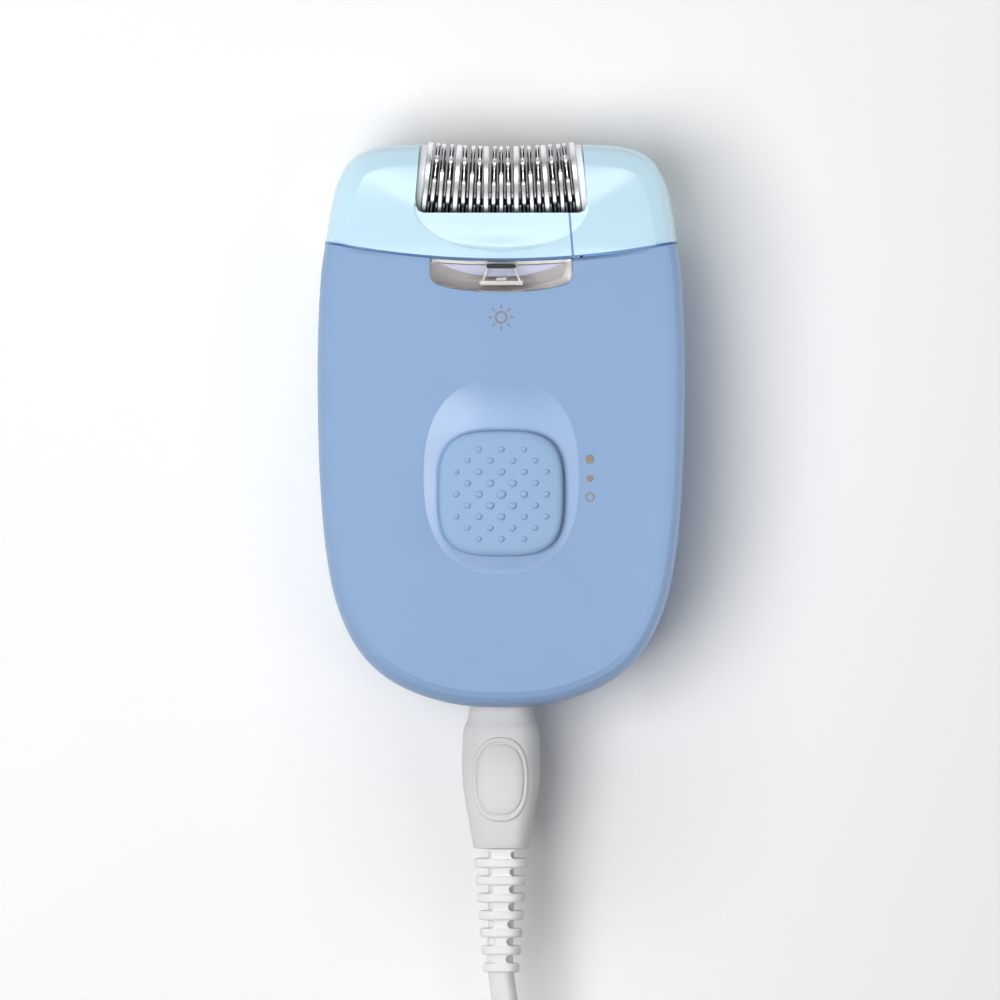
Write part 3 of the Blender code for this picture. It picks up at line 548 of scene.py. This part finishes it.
def make_head(pale, shade):
    """Main piece and side piece of the tweezer head, and the seal between them."""
    side = spline([(2.9, 3.4), (1.0, 7.6), (0.2, 12.5), (0.0, 17.0), (0.15, 22.0), (0.55, 25.2),
                   (1.25, 27.2)], 5)
    skin = [(3.9, 0.04, 0.5), (3.9, 0.45, 0.55), (3.9, 0.7, 0.62), (3.9, 0.86, 0.95),
            (3.9, 0.95, 1.6), (3.5, 0.99, 2.4)]
    skin += [(a, 1.0, z) for a, z in side]
    skin += [(1.7, 1.0, 27.7), (2.6, 1.0, 28.4), (3.5, 1.0, 29.1), (3.75, 1.0, 29.27),
             (3.9, 1.0, 29.33), (3.9, 0.985, 29.42)]
    skin += [(3.9, s, 29.36 + 2.5 * (1.0 - s * s)) for s in (0.95, 0.9, 0.82, 0.74, 0.65, 0.55,
                                                            0.45, 0.34, 0.22, 0.1, 0.03)]
    opening = [(13.75, 60.0), (13.8, 47.8), (14.55, 38.6), (14.5, 37.3), (14.1, 36.3),
               (13.2, 35.9)]
    opening += [(-x, y) for x, y in reversed(opening)]
    scoop = []
    for y, half, low, rise in spline([(28.9, 1.2, 32.0, 0.3), (29.6, 4.4, 31.55, 0.3),
                                      (30.4, 7.4, 31.1, 0.3), (31.9, 10.9, 30.5, 0.32),
                                      (33.7, 13.3, 29.7, 0.34), (35.9, 14.6, 28.8, 0.36),
                                      (37.5, 14.7, 28.1, 0.36)], 5):
        floor = [(half * (k / 12.0 - 1.0), low + rise * (k / 12.0 - 1.0) ** 2)
                 for k in range(25)]
        scoop.append([(x, y, z) for x, z in floor + [(half, 40.0), (-half, 40.0)]])
    for name, node, shift, far in (("head_body", "head_main", -0.17, 40.0),
                                   ("head_arm", "head_side", 0.17, -40.0)):
        split = [(11.45 + shift, 37.0), (12.2 + shift, 27.8), (far, 27.0), (far, 60.0),
                 (11.45 + shift, 60.0)]
        verts, faces = head_solid(skin, SEAM_GAP)
        shell = piece(name, verts, faces, pale, "head", "head_pale_blue", [node], 24)
        carve_head(shell, scoop, split, opening)
    sunk = [(a, scale, DRUM_Z + (z - DRUM_Z) * 0.988) for a, scale, z in skin]
    strip = [(11.3, 37.0), (12.05, 27.8), (12.35, 27.8), (11.6, 37.0)]
    low_scoop = [[(x, y, z - 0.16) for x, y, z in loop] for loop in scoop]
    filler = piece("head_parting_seal", *head_solid(sunk, SEAM_GAP + 0.1), shade, "head",
                   "body_blue", sharp=24)
    carve_head(filler, low_scoop, strip, opening, "INTERSECT")


# =======================================================================================
# Details on the front
# =======================================================================================
def make_gasket(shade, black):
    """Seal in the groove between head and body, and the latch beside the side piece."""
    edge = [(30.0, 17.0), (29.9, 21.0), (29.4, 25.2), (28.4, 27.6), (26.9, 29.0), (24.0, 29.7),
            (12.3, 31.0), (6.0, 31.3), (0.0, 31.4)]
    low = [(29.7, 13.0), (28.9, 8.6), (27.2, 4.9), (24.6, 2.9), (20.0, 2.2), (0.0, 1.9)]
    right = spline(edge[::-1] + low, 8)
    loop = right.tolist() + [(-x, z) for x, z in right[-2::-1].tolist()]
    inner = [(x * 0.955, DRUM_Z + (z - DRUM_Z) * 0.93) for x, z in loop]
    rows = []
    for points, offset in ((loop, -0.22), (loop, 0.22), (inner, 0.22), (inner, -0.22)):
        rows.append([(x, float(seam(x)) + offset, z) for x, z in points])
    verts = [p for row in zip(*rows) for p in row]
    faces = []
    for i in range(len(loop) - 1):
        for k in range(4):
            faces.append((4 * i + k, 4 * i + (k + 1) % 4, 4 * i + 4 + (k + 1) % 4,
                          4 * i + 4 + k))
    faces += [(0, 1, 2, 3), tuple(range(len(verts) - 4, len(verts)))]
    piece("seam_seal", verts, faces, shade, "housing", "body_blue", sharp=40)
    piece("head_latch", *block((13.3, 28.2, 27.0), (13.8, 28.6, 31.0)), black, "housing",
          "hood_black", sharp=20)


def make_knob(soft):
    """Slide knob with rows of raised grip dots."""
    half = 10.55
    rings = [(1.05, 1.3), (1.05, 0.6), (1.15, 0.25), (1.4, 0.04), (1.6, 0.0), (1.95, 0.1),
             (2.2, 0.3), (2.4, 0.65), (2.52, 1.1), (2.6, 1.8), (2.7, 3.0), (2.8, 4.6),
             (2.88, 6.4), (2.93, 8.6), (KNOB_HEIGHT, 10.2)]
    loops = []
    for z, inset in rings:
        loop = []
        for x, y in superellipse(half - inset, half - inset, 3.3, 160):
            share = min(max((y + 2.0) / 10.0, 0.0), 1.0)
            lift = 0.6 * share * share * (3.0 - 2.0 * share) * max(1.75 - z, 0.0) / 0.7
            loop.append((x, KNOB_Y + y, KNOB_BASE_Z + z + lift))
        loops.append(loop)
    parts = [loft(loops)]
    for row, count in enumerate((3, 4, 5, 4, 5, 4, 5, 4, 3)):
        y = KNOB_Y - 7.56 + 1.89 * row
        for k in range(count):
            x = (k - (count - 1) / 2.0) * 3.8
            away = math.hypot(x, y - KNOB_Y) / 9.5
            size = 0.95 - 0.42 * min(away, 1.0)
            top = KNOB_BASE_Z + KNOB_HEIGHT - 0.0022 * (x * x + (y - KNOB_Y) ** 2)
            parts.append(grip_dot(x, y, top, size))
    verts, faces = merged(*parts)
    piece("slide_knob", verts, faces, soft, "switch", "knob_blue", ["switch_knob"], 40)


def grip_dot(x, y, z, size):
    """Raised dot, blunt towards the hand and steep on its lower side."""
    loops = []
    for tilt in (0.0, 0.35, 0.7, 1.0, 1.25, 1.45):
        grow = math.cos(tilt)
        rise = math.sin(tilt) * 0.56 * size
        loop = []
        for k in range(20):
            angle = 2.0 * math.pi * k / 20
            lean = 0.45 + 0.4 * grow if math.sin(angle) < 0 else 0.7 * grow
            loop.append((x + size * (0.35 + 0.6 * grow) * math.cos(angle),
                         y + lean * size * math.sin(angle), z - 0.12 + rise))
        loops.append(loop)
    return loft(loops)


def flat_mark(points):
    """Printed shape that follows the front face."""
    points = np.asarray(points, float)
    loops = []
    for rise in (MARK_ROOT, MARK_TOP):
        loops.append(level(points, front_height(points[:, 0], points[:, 1]) + rise))
    return loft(loops)


def ring_mark(x, y, outer, inner):
    """Printed ring that follows the front face."""
    angle = np.linspace(0.0, 2.0 * math.pi, 40, endpoint=False)
    loops = []
    for radius, rise in ((outer, MARK_ROOT), (outer, MARK_TOP), (inner, MARK_TOP),
                         (inner, MARK_ROOT)):
        px, py = x + radius * np.cos(angle), y + radius * np.sin(angle)
        loops.append(np.column_stack([px, py, front_height(px, py) + rise]))
    return loft(loops, ring=True)


def make_marks(ink):
    """Sun symbol for the light and the three switch positions."""
    sun_y = 18.15
    parts = [ring_mark(0.0, sun_y, 1.06, 0.78)]
    for k in range(8):
        angle = math.pi / 4.0 * k + math.pi / 2.0
        c, s = math.cos(angle), math.sin(angle)
        bar = []
        for along, across in ((1.5, -0.11), (2.15, -0.11), (2.15, 0.11), (1.5, 0.11)):
            bar.append((along * c - across * s, sun_y + along * s + across * c))
        parts.append(flat_mark(bar))
    mark_x = 15.0
    for y, radius in ((-5.8, 0.77), (-9.05, 0.58)):
        angle = np.linspace(0.0, 2.0 * math.pi, 32, endpoint=False)
        parts.append(flat_mark(np.stack([mark_x + radius * np.cos(angle),
                                         y + radius * np.sin(angle)], axis=1)))
    parts.append(ring_mark(mark_x, -12.2, 0.77, 0.55))
    verts, faces = merged(*parts)
    piece("printed_marks", verts, faces, ink, "housing", "hood_black", sharp=50)


def make_window(clear, mirror, lilac, black, warm):
    """Light window with its reflector and dark hood."""
    flat = np.array(lens_outline(-0.03, 0.0))
    centre = flat.mean(axis=0)
    loops = []
    for inset, drop in ((0.0, None), (0.0, 0.22), (0.12, 0.07), (0.4, 0.0), (2.2, 0.0)):
        span = np.abs(flat - centre).max(axis=0)
        shrunk = centre + (flat - centre) * (1.0 - inset / span)
        z = front_height(shrunk[:, 0], shrunk[:, 1])
        height = 29.6 if drop is None else z - drop - 0.1
        loops.append(level(shrunk, height))
    verts, faces = loft(loops)
    piece("window_glass", verts, faces, clear, "housing", "window_clear", ["light_window"], 30)

    tray = np.array(lens_outline(-0.3, -0.4))
    middle = tray.mean(axis=0)
    loops = []
    for share, z in ((1.0, 29.4), (0.97, 28.2), (0.8, 26.9), (0.5, 26.4)):
        loops.append(level(middle + (tray - middle) * share, z))
    verts, faces = loft(loops, caps=False)
    faces.append(tuple(range(3 * len(tray), 4 * len(tray))))
    piece("window_reflector", verts, faces, mirror, "housing", "window_clear")

    upper = [(x, float(seam(x)) - 1.1) for x in np.linspace(-10.6, 10.6, 31)]
    lower = [(x, 25.1 + 0.019 * x * x) for x in np.linspace(10.6, -10.6, 31)]
    piece("window_diffuser", *prism(upper + lower, 27.6, 28.0), lilac, "housing",
          "window_clear", sharp=20)
    bars = [prism([(-3.7, 24.35), (3.7, 24.35), (3.55, 23.75), (-3.55, 23.75)], 28.0, 29.4)]
    for side in (-1.0, 1.0):
        fin = [(side * 2.0, 26.7), (side * 2.3, 26.7), (side * 3.3, 24.4), (side * 2.9, 24.4)]
        bars.append(prism(fin, 28.1, 29.2))
    strip = np.linspace(-11.6, 11.6, 33)
    run = [(x, float(seam(x)) - 0.25) for x in strip]
    run += [(x, float(seam(x)) - 0.95) for x in reversed(strip)]
    bars.append(prism(run, 28.9, 29.5))
    bars.append(prism([(-0.9, 24.9), (0.9, 24.9), (0.8, 24.5), (-0.8, 24.5)], 28.3, 29.0))
    piece("window_rib", *merged(*bars), warm, "housing", "lamp_white", sharp=20)
    hood = [[(x, 26.72 + 0.5 * y, z) for x, y in superellipse(2.45 + grow, 0.68 + grow, 6.0, 40)]
            for z, grow in ((28.9, 0.0), (33.1, 0.0), (33.25, -0.15))]
    piece("window_hood", *loft(hood), black, "housing", "hood_black", ["lamp_hood"])


def disc_frame(index):
    """Place and turn of one tweezer disc on the bent axle."""
    x = (index - (DISC_COUNT - 1) / 2) * DISC_PITCH
    y = DRUM_Y + AXLE_BEND - math.sqrt(AXLE_BEND ** 2 - x ** 2)
    return Matrix.Translation((x, y, DRUM_Z)) @ Matrix.Rotation(math.asin(x / AXLE_BEND), 4, "Z")


def pad_width(index, angle):
    """Half width of a disc's rim: wide pads that nip the hair, slim blades between them."""
    turn = math.degrees(angle) % 360.0
    if index % 4 == 0:
        pads = ((-4.0, 118.0), (150.0, 205.0), (235.0, 320.0))
    elif index % 2 == 0:
        pads = ((-12.0, 24.0), (61.0, 138.0), (170.0, 215.0), (250.0, 325.0))
    else:
        pads = ((-14.0, 16.0), (40.0, 52.0), (72.0, 100.0), (150.0, 240.0), (270.0, 330.0))
    wide = 0.0
    for start, stop in pads:
        for shift in (0.0, 360.0, -360.0):
            inside = min(turn + shift - start, stop - turn - shift)
            wide = max(wide, min(max(inside / 5.0 + 0.5, 0.0), 1.0))
    return 0.1 + (0.33 if index % 4 == 0 else 0.24) * wide, wide


def make_discs(steel, shade, dark):
    """Tweezer discs: blades on a dark hub, with pads that nip the hair at their rims. The blade
    sides carry a darker copy of the disc steel as painted shade.
    """
    steps = 180
    hub_half, blade_half, rim_taper = 0.5, 0.12, 0.72
    # Inside radius 6.15 the hub is dark plastic, and its darkness also serves as painted shade in
    # the gaps between the discs.
    rings = (1.7, 6.1, 6.2, 6.5, 7.2, 8.2, 8.8, 8.95)
    for index in range(DISC_COUNT):
        loops = []
        lean = 0.16 * math.sin(2.2 * index)
        for side in (-1.0, 1.0):
            for radius in (rings if side < 0 else reversed(rings)):
                loop = []
                for k in range(steps):
                    angle = 2.0 * math.pi * k / steps
                    half, wide = pad_width(index, angle)
                    reach = radius
                    if radius > 7.0:
                        reach -= 0.45 * (1.0 - wide) * (radius - 7.0) / 1.95
                    if radius < 6.15:
                        half = hub_half
                    elif radius < 7.0:
                        half = blade_half
                    elif radius > 8.9:
                        half *= rim_taper
                    drift = lean * math.cos(angle) * max(radius - 5.0, 0.0) / 4.0
                    loop.append((side * half + drift, reach * math.cos(angle),
                                 reach * math.sin(angle)))
                loops.append(loop)
        verts, faces = loft(loops, ring=True)
        place = disc_frame(index)
        verts = [tuple(place @ Vector(v)) for v in verts]
        # Face bands: bright steel at the rim, the darker painted-shade steel on the blade sides,
        # the dark hub inside.
        bands = (2, 2, 1, 1, 1, 0, 0, 0, 0, 0, 1, 1, 1, 2, 2, 2)
        groups = [bands[k // steps] for k in range(len(faces))]
        piece(f"nip_disc_{index + 1:02d}", verts, faces, [steel, shade, dark],
              f"disc_{index + 1:02d}", "steel", [f"tweezer_disc_{index + 1:02d}"], 28, groups)


def make_cheeks(bright):
    """Bright end plates of the tweezer set."""
    plate_x = 13.95
    for side, name in ((-1.0, "left"), (1.0, "right")):
        place = (Matrix.Translation((side * plate_x, DRUM_Y + 0.82, DRUM_Z))
                 @ Matrix.Rotation(side * math.asin(plate_x / AXLE_BEND), 4, "Z"))
        profile = [(-0.2, 3.5), (0.2, 3.5), (0.25, 6.9), (0.62, 7.6), (0.62, 8.25),
                   (0.45, 8.45), (-0.45, 8.45), (-0.62, 8.25), (-0.62, 7.6), (-0.25, 6.9)]
        verts, faces = turned(profile, 96)
        verts = [tuple(place @ Vector(v)) for v in verts]
        piece(f"end_plate_{name}", verts, faces, bright, "head", "steel", [f"cheek_{name}"], 35)


# =======================================================================================
# Plug, strain relief, lead and adapter
# =======================================================================================
def make_plug(white):
    """Appliance plug with an oval thumb pad, both in a darker copy of the lead white as painted
    shade near the body.
    """
    stations = spline([(-47.55, 5.35, 4.45), (-49.0, 5.5, 4.6), (-50.4, 5.85, 4.9),
                       (-51.6, 6.35, 5.2), (-53.5, 6.55, 5.35), (-57.9, 6.68, 5.45),
                       (-62.0, 6.4, 5.3), (-67.0, 5.6, 4.95), (-71.6, 4.78, 4.35)], 5)
    loops = []
    for y, a, b in [(-41.5, 4.0, 3.2), (-41.4, 4.1, 3.3), (-47.3, 4.2, 3.4), (-47.3, 5.1, 4.2),
                    *stations.tolist(), (-71.9, 4.7, 4.25), (-72.0, 4.5, 4.05)]:
        loops.append([(x, y, PLUG_Z + z) for x, z in superellipse(a, b, 2.5, 96)])
    plug = piece("lead_plug", *loft(loops), white, "lead", "lead_white", ["appliance_plug"], 40)

    rows = []
    for share, rise in ((1.02, -0.5), (1.0, 0.08), (0.985, 0.22), (0.96, 0.28), (0.92, 0.28),
                        (0.89, 0.22), (0.875, 0.05), (0.868, -0.12), (0.85, -0.12),
                        (0.842, 0.08), (0.82, 0.18), (0.76, 0.24), (0.5, 0.3), (0.2, 0.32),
                        (0.03, 0.32)):
        row = []
        for x, y in superellipse(4.75 * share, 7.2 * share, 2.5, 72):
            centre_y = -60.2 + y
            width = float(np.interp(-centre_y, -stations[:, 0], stations[:, 1]))
            deep = float(np.interp(-centre_y, -stations[:, 0], stations[:, 2]))
            top = deep * max(1.0 - abs(x / width) ** 2.5, 0.0) ** (1 / 2.5)
            row.append((x - 0.1, centre_y, PLUG_Z + top + rise))
        rows.append(row)
    pad = piece("plug_pad", *loft(rows), white, "lead", "lead_white", sharp=40)
    return plug, pad


def make_relief(white):
    """Strain relief: ribs joined by two spines, with the lead in the gaps."""
    parts = []
    root_y, first_rib_y, end_y = -72.1, -73.7, -93.13
    pitch, space = 2.97, 1.37
    for k in range(7):
        start = first_rib_y - pitch * k
        a = 4.55 - 0.237 * k
        b = 4.1 - 0.17 * k
        loops = []
        for y, shrink in ((start, 0.4), (start - 0.06, 0.18), (start - 0.2, 0.04),
                          (start - 0.4, 0.0), (start - 1.2, 0.0), (start - 1.4, 0.04),
                          (start - 1.54, 0.18), (start - 1.6, 0.4)):
            loops.append([(x, y, PLUG_Z + z) for x, z in
                          superellipse(a - shrink, b - shrink, 2.4, 64)])
        parts.append(loft(loops))
    for side in (-1.0, 1.0):
        rows = []
        for y in np.linspace(root_y, end_y, 190):
            t = (y - root_y) / (end_y - root_y)
            half = 1.75 - 0.95 * t
            gap = (y - first_rib_y) % pitch
            flare = 0.62
            if gap < space:
                flare *= 1.0 - math.sqrt(max(1.0 - (gap / (space / 2) - 1.0) ** 2, 0.0))
            half += flare
            top = 3.72 - 0.95 * t
            rows.append([(x, y, PLUG_Z + side * z) for x, z in (
                (half, 2.15), (half, top - 0.2), (half - 0.2, top), (-half + 0.2, top),
                (-half, top - 0.2), (-half, 2.15))])
        parts.append(loft(rows))
    verts, faces = merged(*parts)
    return piece("lead_relief", verts, faces, white, "lead", "lead_white", ["strain_relief"], 35)


def cord_path():
    """Centreline of the whole lead, from the relief through the coil to the adapter."""
    lead = [(0.0, -72.6, 16.0), (0.0, -83.0, 16.0), (0.0, -93.5, 16.0), (2.2, -102.5, 13.8),
            (9.0, -110.8, 8.0), (19.2, -117.0, 4.0), (28.6, -126.2, 2.7), (34.2, -138.2, 2.5)]
    cx, cy = COIL_CENTRE
    start = math.atan2(lead[-1][1] - cy, lead[-1][0] - cx)
    pitch = 2.0 * CORD_RADIUS
    columns = [COIL_RADIUS + pitch, COIL_RADIUS, COIL_RADIUS - pitch]
    floor_z = 2.25
    layers = [floor_z, floor_z + pitch, floor_z + 2 * pitch]
    slots = [(columns[0], layers[0]), (columns[0], layers[1]), (columns[0], layers[2]),
             (columns[1], layers[2]), (columns[1], layers[1]), (columns[1], layers[0]),
             (columns[2], layers[0]), (columns[2], layers[1]), (columns[2], layers[2])]
    coil = []
    per_turn = 30
    total = len(slots) * per_turn
    for k in range(1, total - 1):
        turn = k / per_turn
        here = int(turn)
        t = turn - here
        a = slots[here]
        b = slots[min(here + 1, len(slots) - 1)]
        blend_t = max(0.0, (t - 0.72) / 0.28)
        blend_t = blend_t * blend_t * (3.0 - 2.0 * blend_t)
        r = a[0] + (b[0] - a[0]) * blend_t
        z = a[1] + (b[1] - a[1]) * blend_t
        if here == 0 and t < 0.5:
            ease = 1.0 - t / 0.5
            r += 4.6 * ease * ease
        lift = max(0.0, (turn - 8.6) / 0.4)
        z += 5.1 * lift * lift * (3.0 - 2.0 * lift)
        angle = start - 2.0 * math.pi * turn
        coil.append((cx + r * math.cos(angle), cy + r * math.sin(angle), z))
    tail = [(20.3, -140.5, 15.7), (21.9, -149.5, 15.8), (20.6, -158.6, 15.8),
            (16.4, -167.0, 15.8), (10.6, -174.4, 15.8), (5.2, -181.2, 15.5),
            (1.4, -188.0, 14.6), (0.0, -194.6, 14.0)]
    return lead, coil, tail


def make_cord(white, steel):
    """The lead itself, its tie and the wall adapter."""
    lead, coil, tail = cord_path()
    route = spline(lead + coil[:1], 6)[:-1].tolist() + coil
    rise = spline(coil[-2:] + tail, 6)
    route += rise[7:].tolist()
    length = float(np.linalg.norm(np.diff(np.array(route), axis=0), axis=1).sum())
    data = bpy.data.curves.new("lead_cable", "CURVE")
    data.dimensions = "3D"
    data.bevel_depth = CORD_RADIUS * MM
    data.bevel_resolution = 5
    data.use_fill_caps = True
    line = data.splines.new("POLY")
    line.points.add(len(route) - 1)
    for point, place in zip(line.points, route):
        point.co = (*(Vector(place) * MM), 1.0)
    line.use_smooth = True
    cable = bpy.data.objects.new("lead_cable", data)
    bpy.context.scene.collection.objects.link(cable)
    data.materials.append(white)
    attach(cable, "lead")
    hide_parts("cord_lead", "cord_coil", "cord_tail")

    strap = []
    steps = 48
    for k in range(steps):
        angle = 2.0 * math.pi * k / steps
        c, s = math.cos(angle), math.sin(angle)
        grow = 1.0 / (abs(c) ** 4 + abs(s) ** 4) ** 0.25
        strap.append((grow * c, grow * s))
    loops = []
    for reach, y in ((6.45, -1.6), (6.95, -1.6), (7.05, -1.2), (7.05, 1.2), (6.95, 1.6),
                     (6.45, 1.6)):
        loops.append([(COIL_CENTRE[0] - COIL_RADIUS + reach * c, COIL_CENTRE[1] + y,
                       7.1 + reach * s) for c, s in strap])
    tie = piece("lead_tie", *loft(loops, ring=True), white, "lead", "lead_white", sharp=40)

    stations = spline([(-195.0, 5.2, 5.2), (-197.0, 6.6, 6.4), (-200.0, 10.8, 9.8),
                       (-205.0, 16.2, 12.9), (-211.0, 18.3, 13.8), (-220.0, 18.5, 14.0),
                       (-234.0, 18.4, 13.95), (-237.6, 18.0, 13.5)], 6).tolist()
    stations += [(-238.6, 17.3, 12.8), (-239.0, 16.4, 11.9)]
    rows = [[(x, y, ADAPTER_Z + z) for x, z in superellipse(a, b, 3.8, 96)]
            for y, a, b in stations]
    adapter = piece("adapter_case", *loft(rows), white, "lead", "lead_white",
                    ["adapter_housing"], 40)
    pins = []
    profile = [(-239.2, 1.98), (-239.6, 2.0), (-248.0, 2.0), (-256.0, 2.0), (-257.2, 1.7),
               (-257.7, 1.2), (-257.8, 0.4)]
    around = [2 * math.pi * k / 32 for k in range(32)]
    for x, side in ((-9.5, "left"), (9.5, "right")):
        rows = [[(x + r * math.cos(angle), y, ADAPTER_Z + r * math.sin(angle))
                 for angle in around] for y, r in profile]
        pins.append(piece(f"adapter_prong_{side}", *loft(rows), steel, "lead", "steel",
                          [f"adapter_pin_{side}"], 40))
    return cable, tie, adapter, pins, length


def dress_nodes(looks):
    """Give the CAD pieces that stay their finished materials."""
    for look, names in looks.items():
        for name in names:
            node = bpy.data.objects[name]
            for slot_item in node.material_slots:
                slot_item.material = look


def main():
    """Build the scene."""
    make_camera()
    white = finish("lead_white", linear(233, 232, 232), 0.42, 2600, 0.02, 0.02)
    # Plug and thumb pad: a darker copy of the lead white, as painted shade near the body.
    plug_white_painted_shade = finish("plug_white_painted_shade", linear(215, 214, 214), 0.48, 2400, 0.03, 0.02)
    prong = finish("prong_steel", (0.62, 0.62, 0.64), 0.22, 5000, 0.01, 0.05, metallic=1.0,
                   stretch=(1.0, 0.1, 1.0))
    plug, pad = make_plug(plug_white_painted_shade)
    relief = make_relief(white)
    cable, tie, adapter, pins, length = make_cord(white, prong)
    make_studio()

    blue = finish("body_blue", linear(136, 164, 202), 0.42, 5200, 0.012, 0.012, gleam=0.2)
    pale = finish("head_pale", linear(194, 225, 240), 0.2, 3600, 0.006, 0.008)
    soft = finish("knob_soft", linear(149, 179, 215), 0.5, 4200, 0.02, 0.015, gleam=0.25)
    steel = finish("disc_steel", (0.93, 0.93, 0.94), 0.36, 6000, 0.008, 0.05, metallic=1.0,
                   stretch=(1.0, 1.0, 0.15))
    bright = finish("plate_white", linear(240, 240, 242), 0.25, 5000, 0.006, 0.02)
    clear = finish("window_clear", (0.97, 0.97, 0.99), 0.06, 3000, 0.004, 0.005,
                   transmission=1.0, rough_spread=0.02, ior=1.49)
    mirror = finish("reflector", linear(202, 197, 194), 0.28, 1200, 0.05, 0.12)
    lilac = finish("diffuser", linear(206, 209, 230), 0.3, 2000, 0.02, 0.05)
    black = finish("hood_black", (0.015, 0.017, 0.022), 0.35, 3000, 0.01, 0.1)
    warm = finish("window_rib", linear(236, 232, 226), 0.3, 2500, 0.01, 0.03)
    ink = finish("grey_ink", linear(140, 128, 118), 0.5, 6000, 0.004, 0.05)
    dark = finish("inner_dark", (0.05, 0.055, 0.06), 0.5, 3000, 0.03, 0.1)
    board = finish("board_green", (0.02, 0.16, 0.07), 0.35, 2500, 0.02, 0.15, coat=0.3)
    brass = finish("contact_brass", (0.75, 0.52, 0.26), 0.3, 4000, 0.01, 0.08, metallic=1.0)
    nylon = finish("gear_nylon", linear(236, 232, 220), 0.4, 3000, 0.02, 0.03, subsurface=0.2)
    can = finish("motor_steel", (0.55, 0.56, 0.58), 0.3, 4000, 0.01, 0.06, metallic=1.0,
                 stretch=(0.1, 1.0, 1.0))
    lamp = finish("lamp_lens", linear(250, 246, 226), 0.1, 3000, 0.004, 0.02)

    make_front(blue, finish("dish_blue", linear(139, 168, 207), 0.3, 5200, 0.01, 0.012,
                            gleam=0.8))
    make_rear(blue)
    rubber = finish("seal_blue", linear(104, 148, 196), 0.4, 3000, 0.01, 0.04)
    make_head(pale, rubber)
    make_gasket(rubber, black)
    make_knob(soft)
    make_marks(ink)
    make_window(clear, mirror, lilac, black, warm)
    # Blade sides: a darker copy of the disc steel, as painted shade.
    make_discs(steel, finish("disc_side_painted_shade", (0.30, 0.30, 0.32), 0.3, 6000, 0.008, 0.08,
                             metallic=1.0),
               # Hub: dark plastic that also stands in as painted shade in the gaps between the
               # discs.
               finish("hub_dark_and_gap_shade", (0.02, 0.023, 0.03), 0.4, 3000, 0.01, 0.08))
    make_cheeks(bright)
    edge_lamps(["front_cover", "rear_cover", "head_body", "head_arm"])
    dress_nodes({
        dark: ["chassis", "switch_carrier", "inlet_socket", "coupling_plate"],
        board: ["circuit_board"],
        brass: ["switch_contact", "inlet_pin_left", "inlet_pin_right"],
        nylon: ["motor_end_cap", "motor_pinion", "reduction_gear", "transfer_gear", "head_gear"],
        can: ["motor_can", "motor_rotor", "reduction_pin", "transfer_pin", "screw_left",
              "screw_right", "disc_axle"],
        lamp: ["lamp_led"],
    })


main()
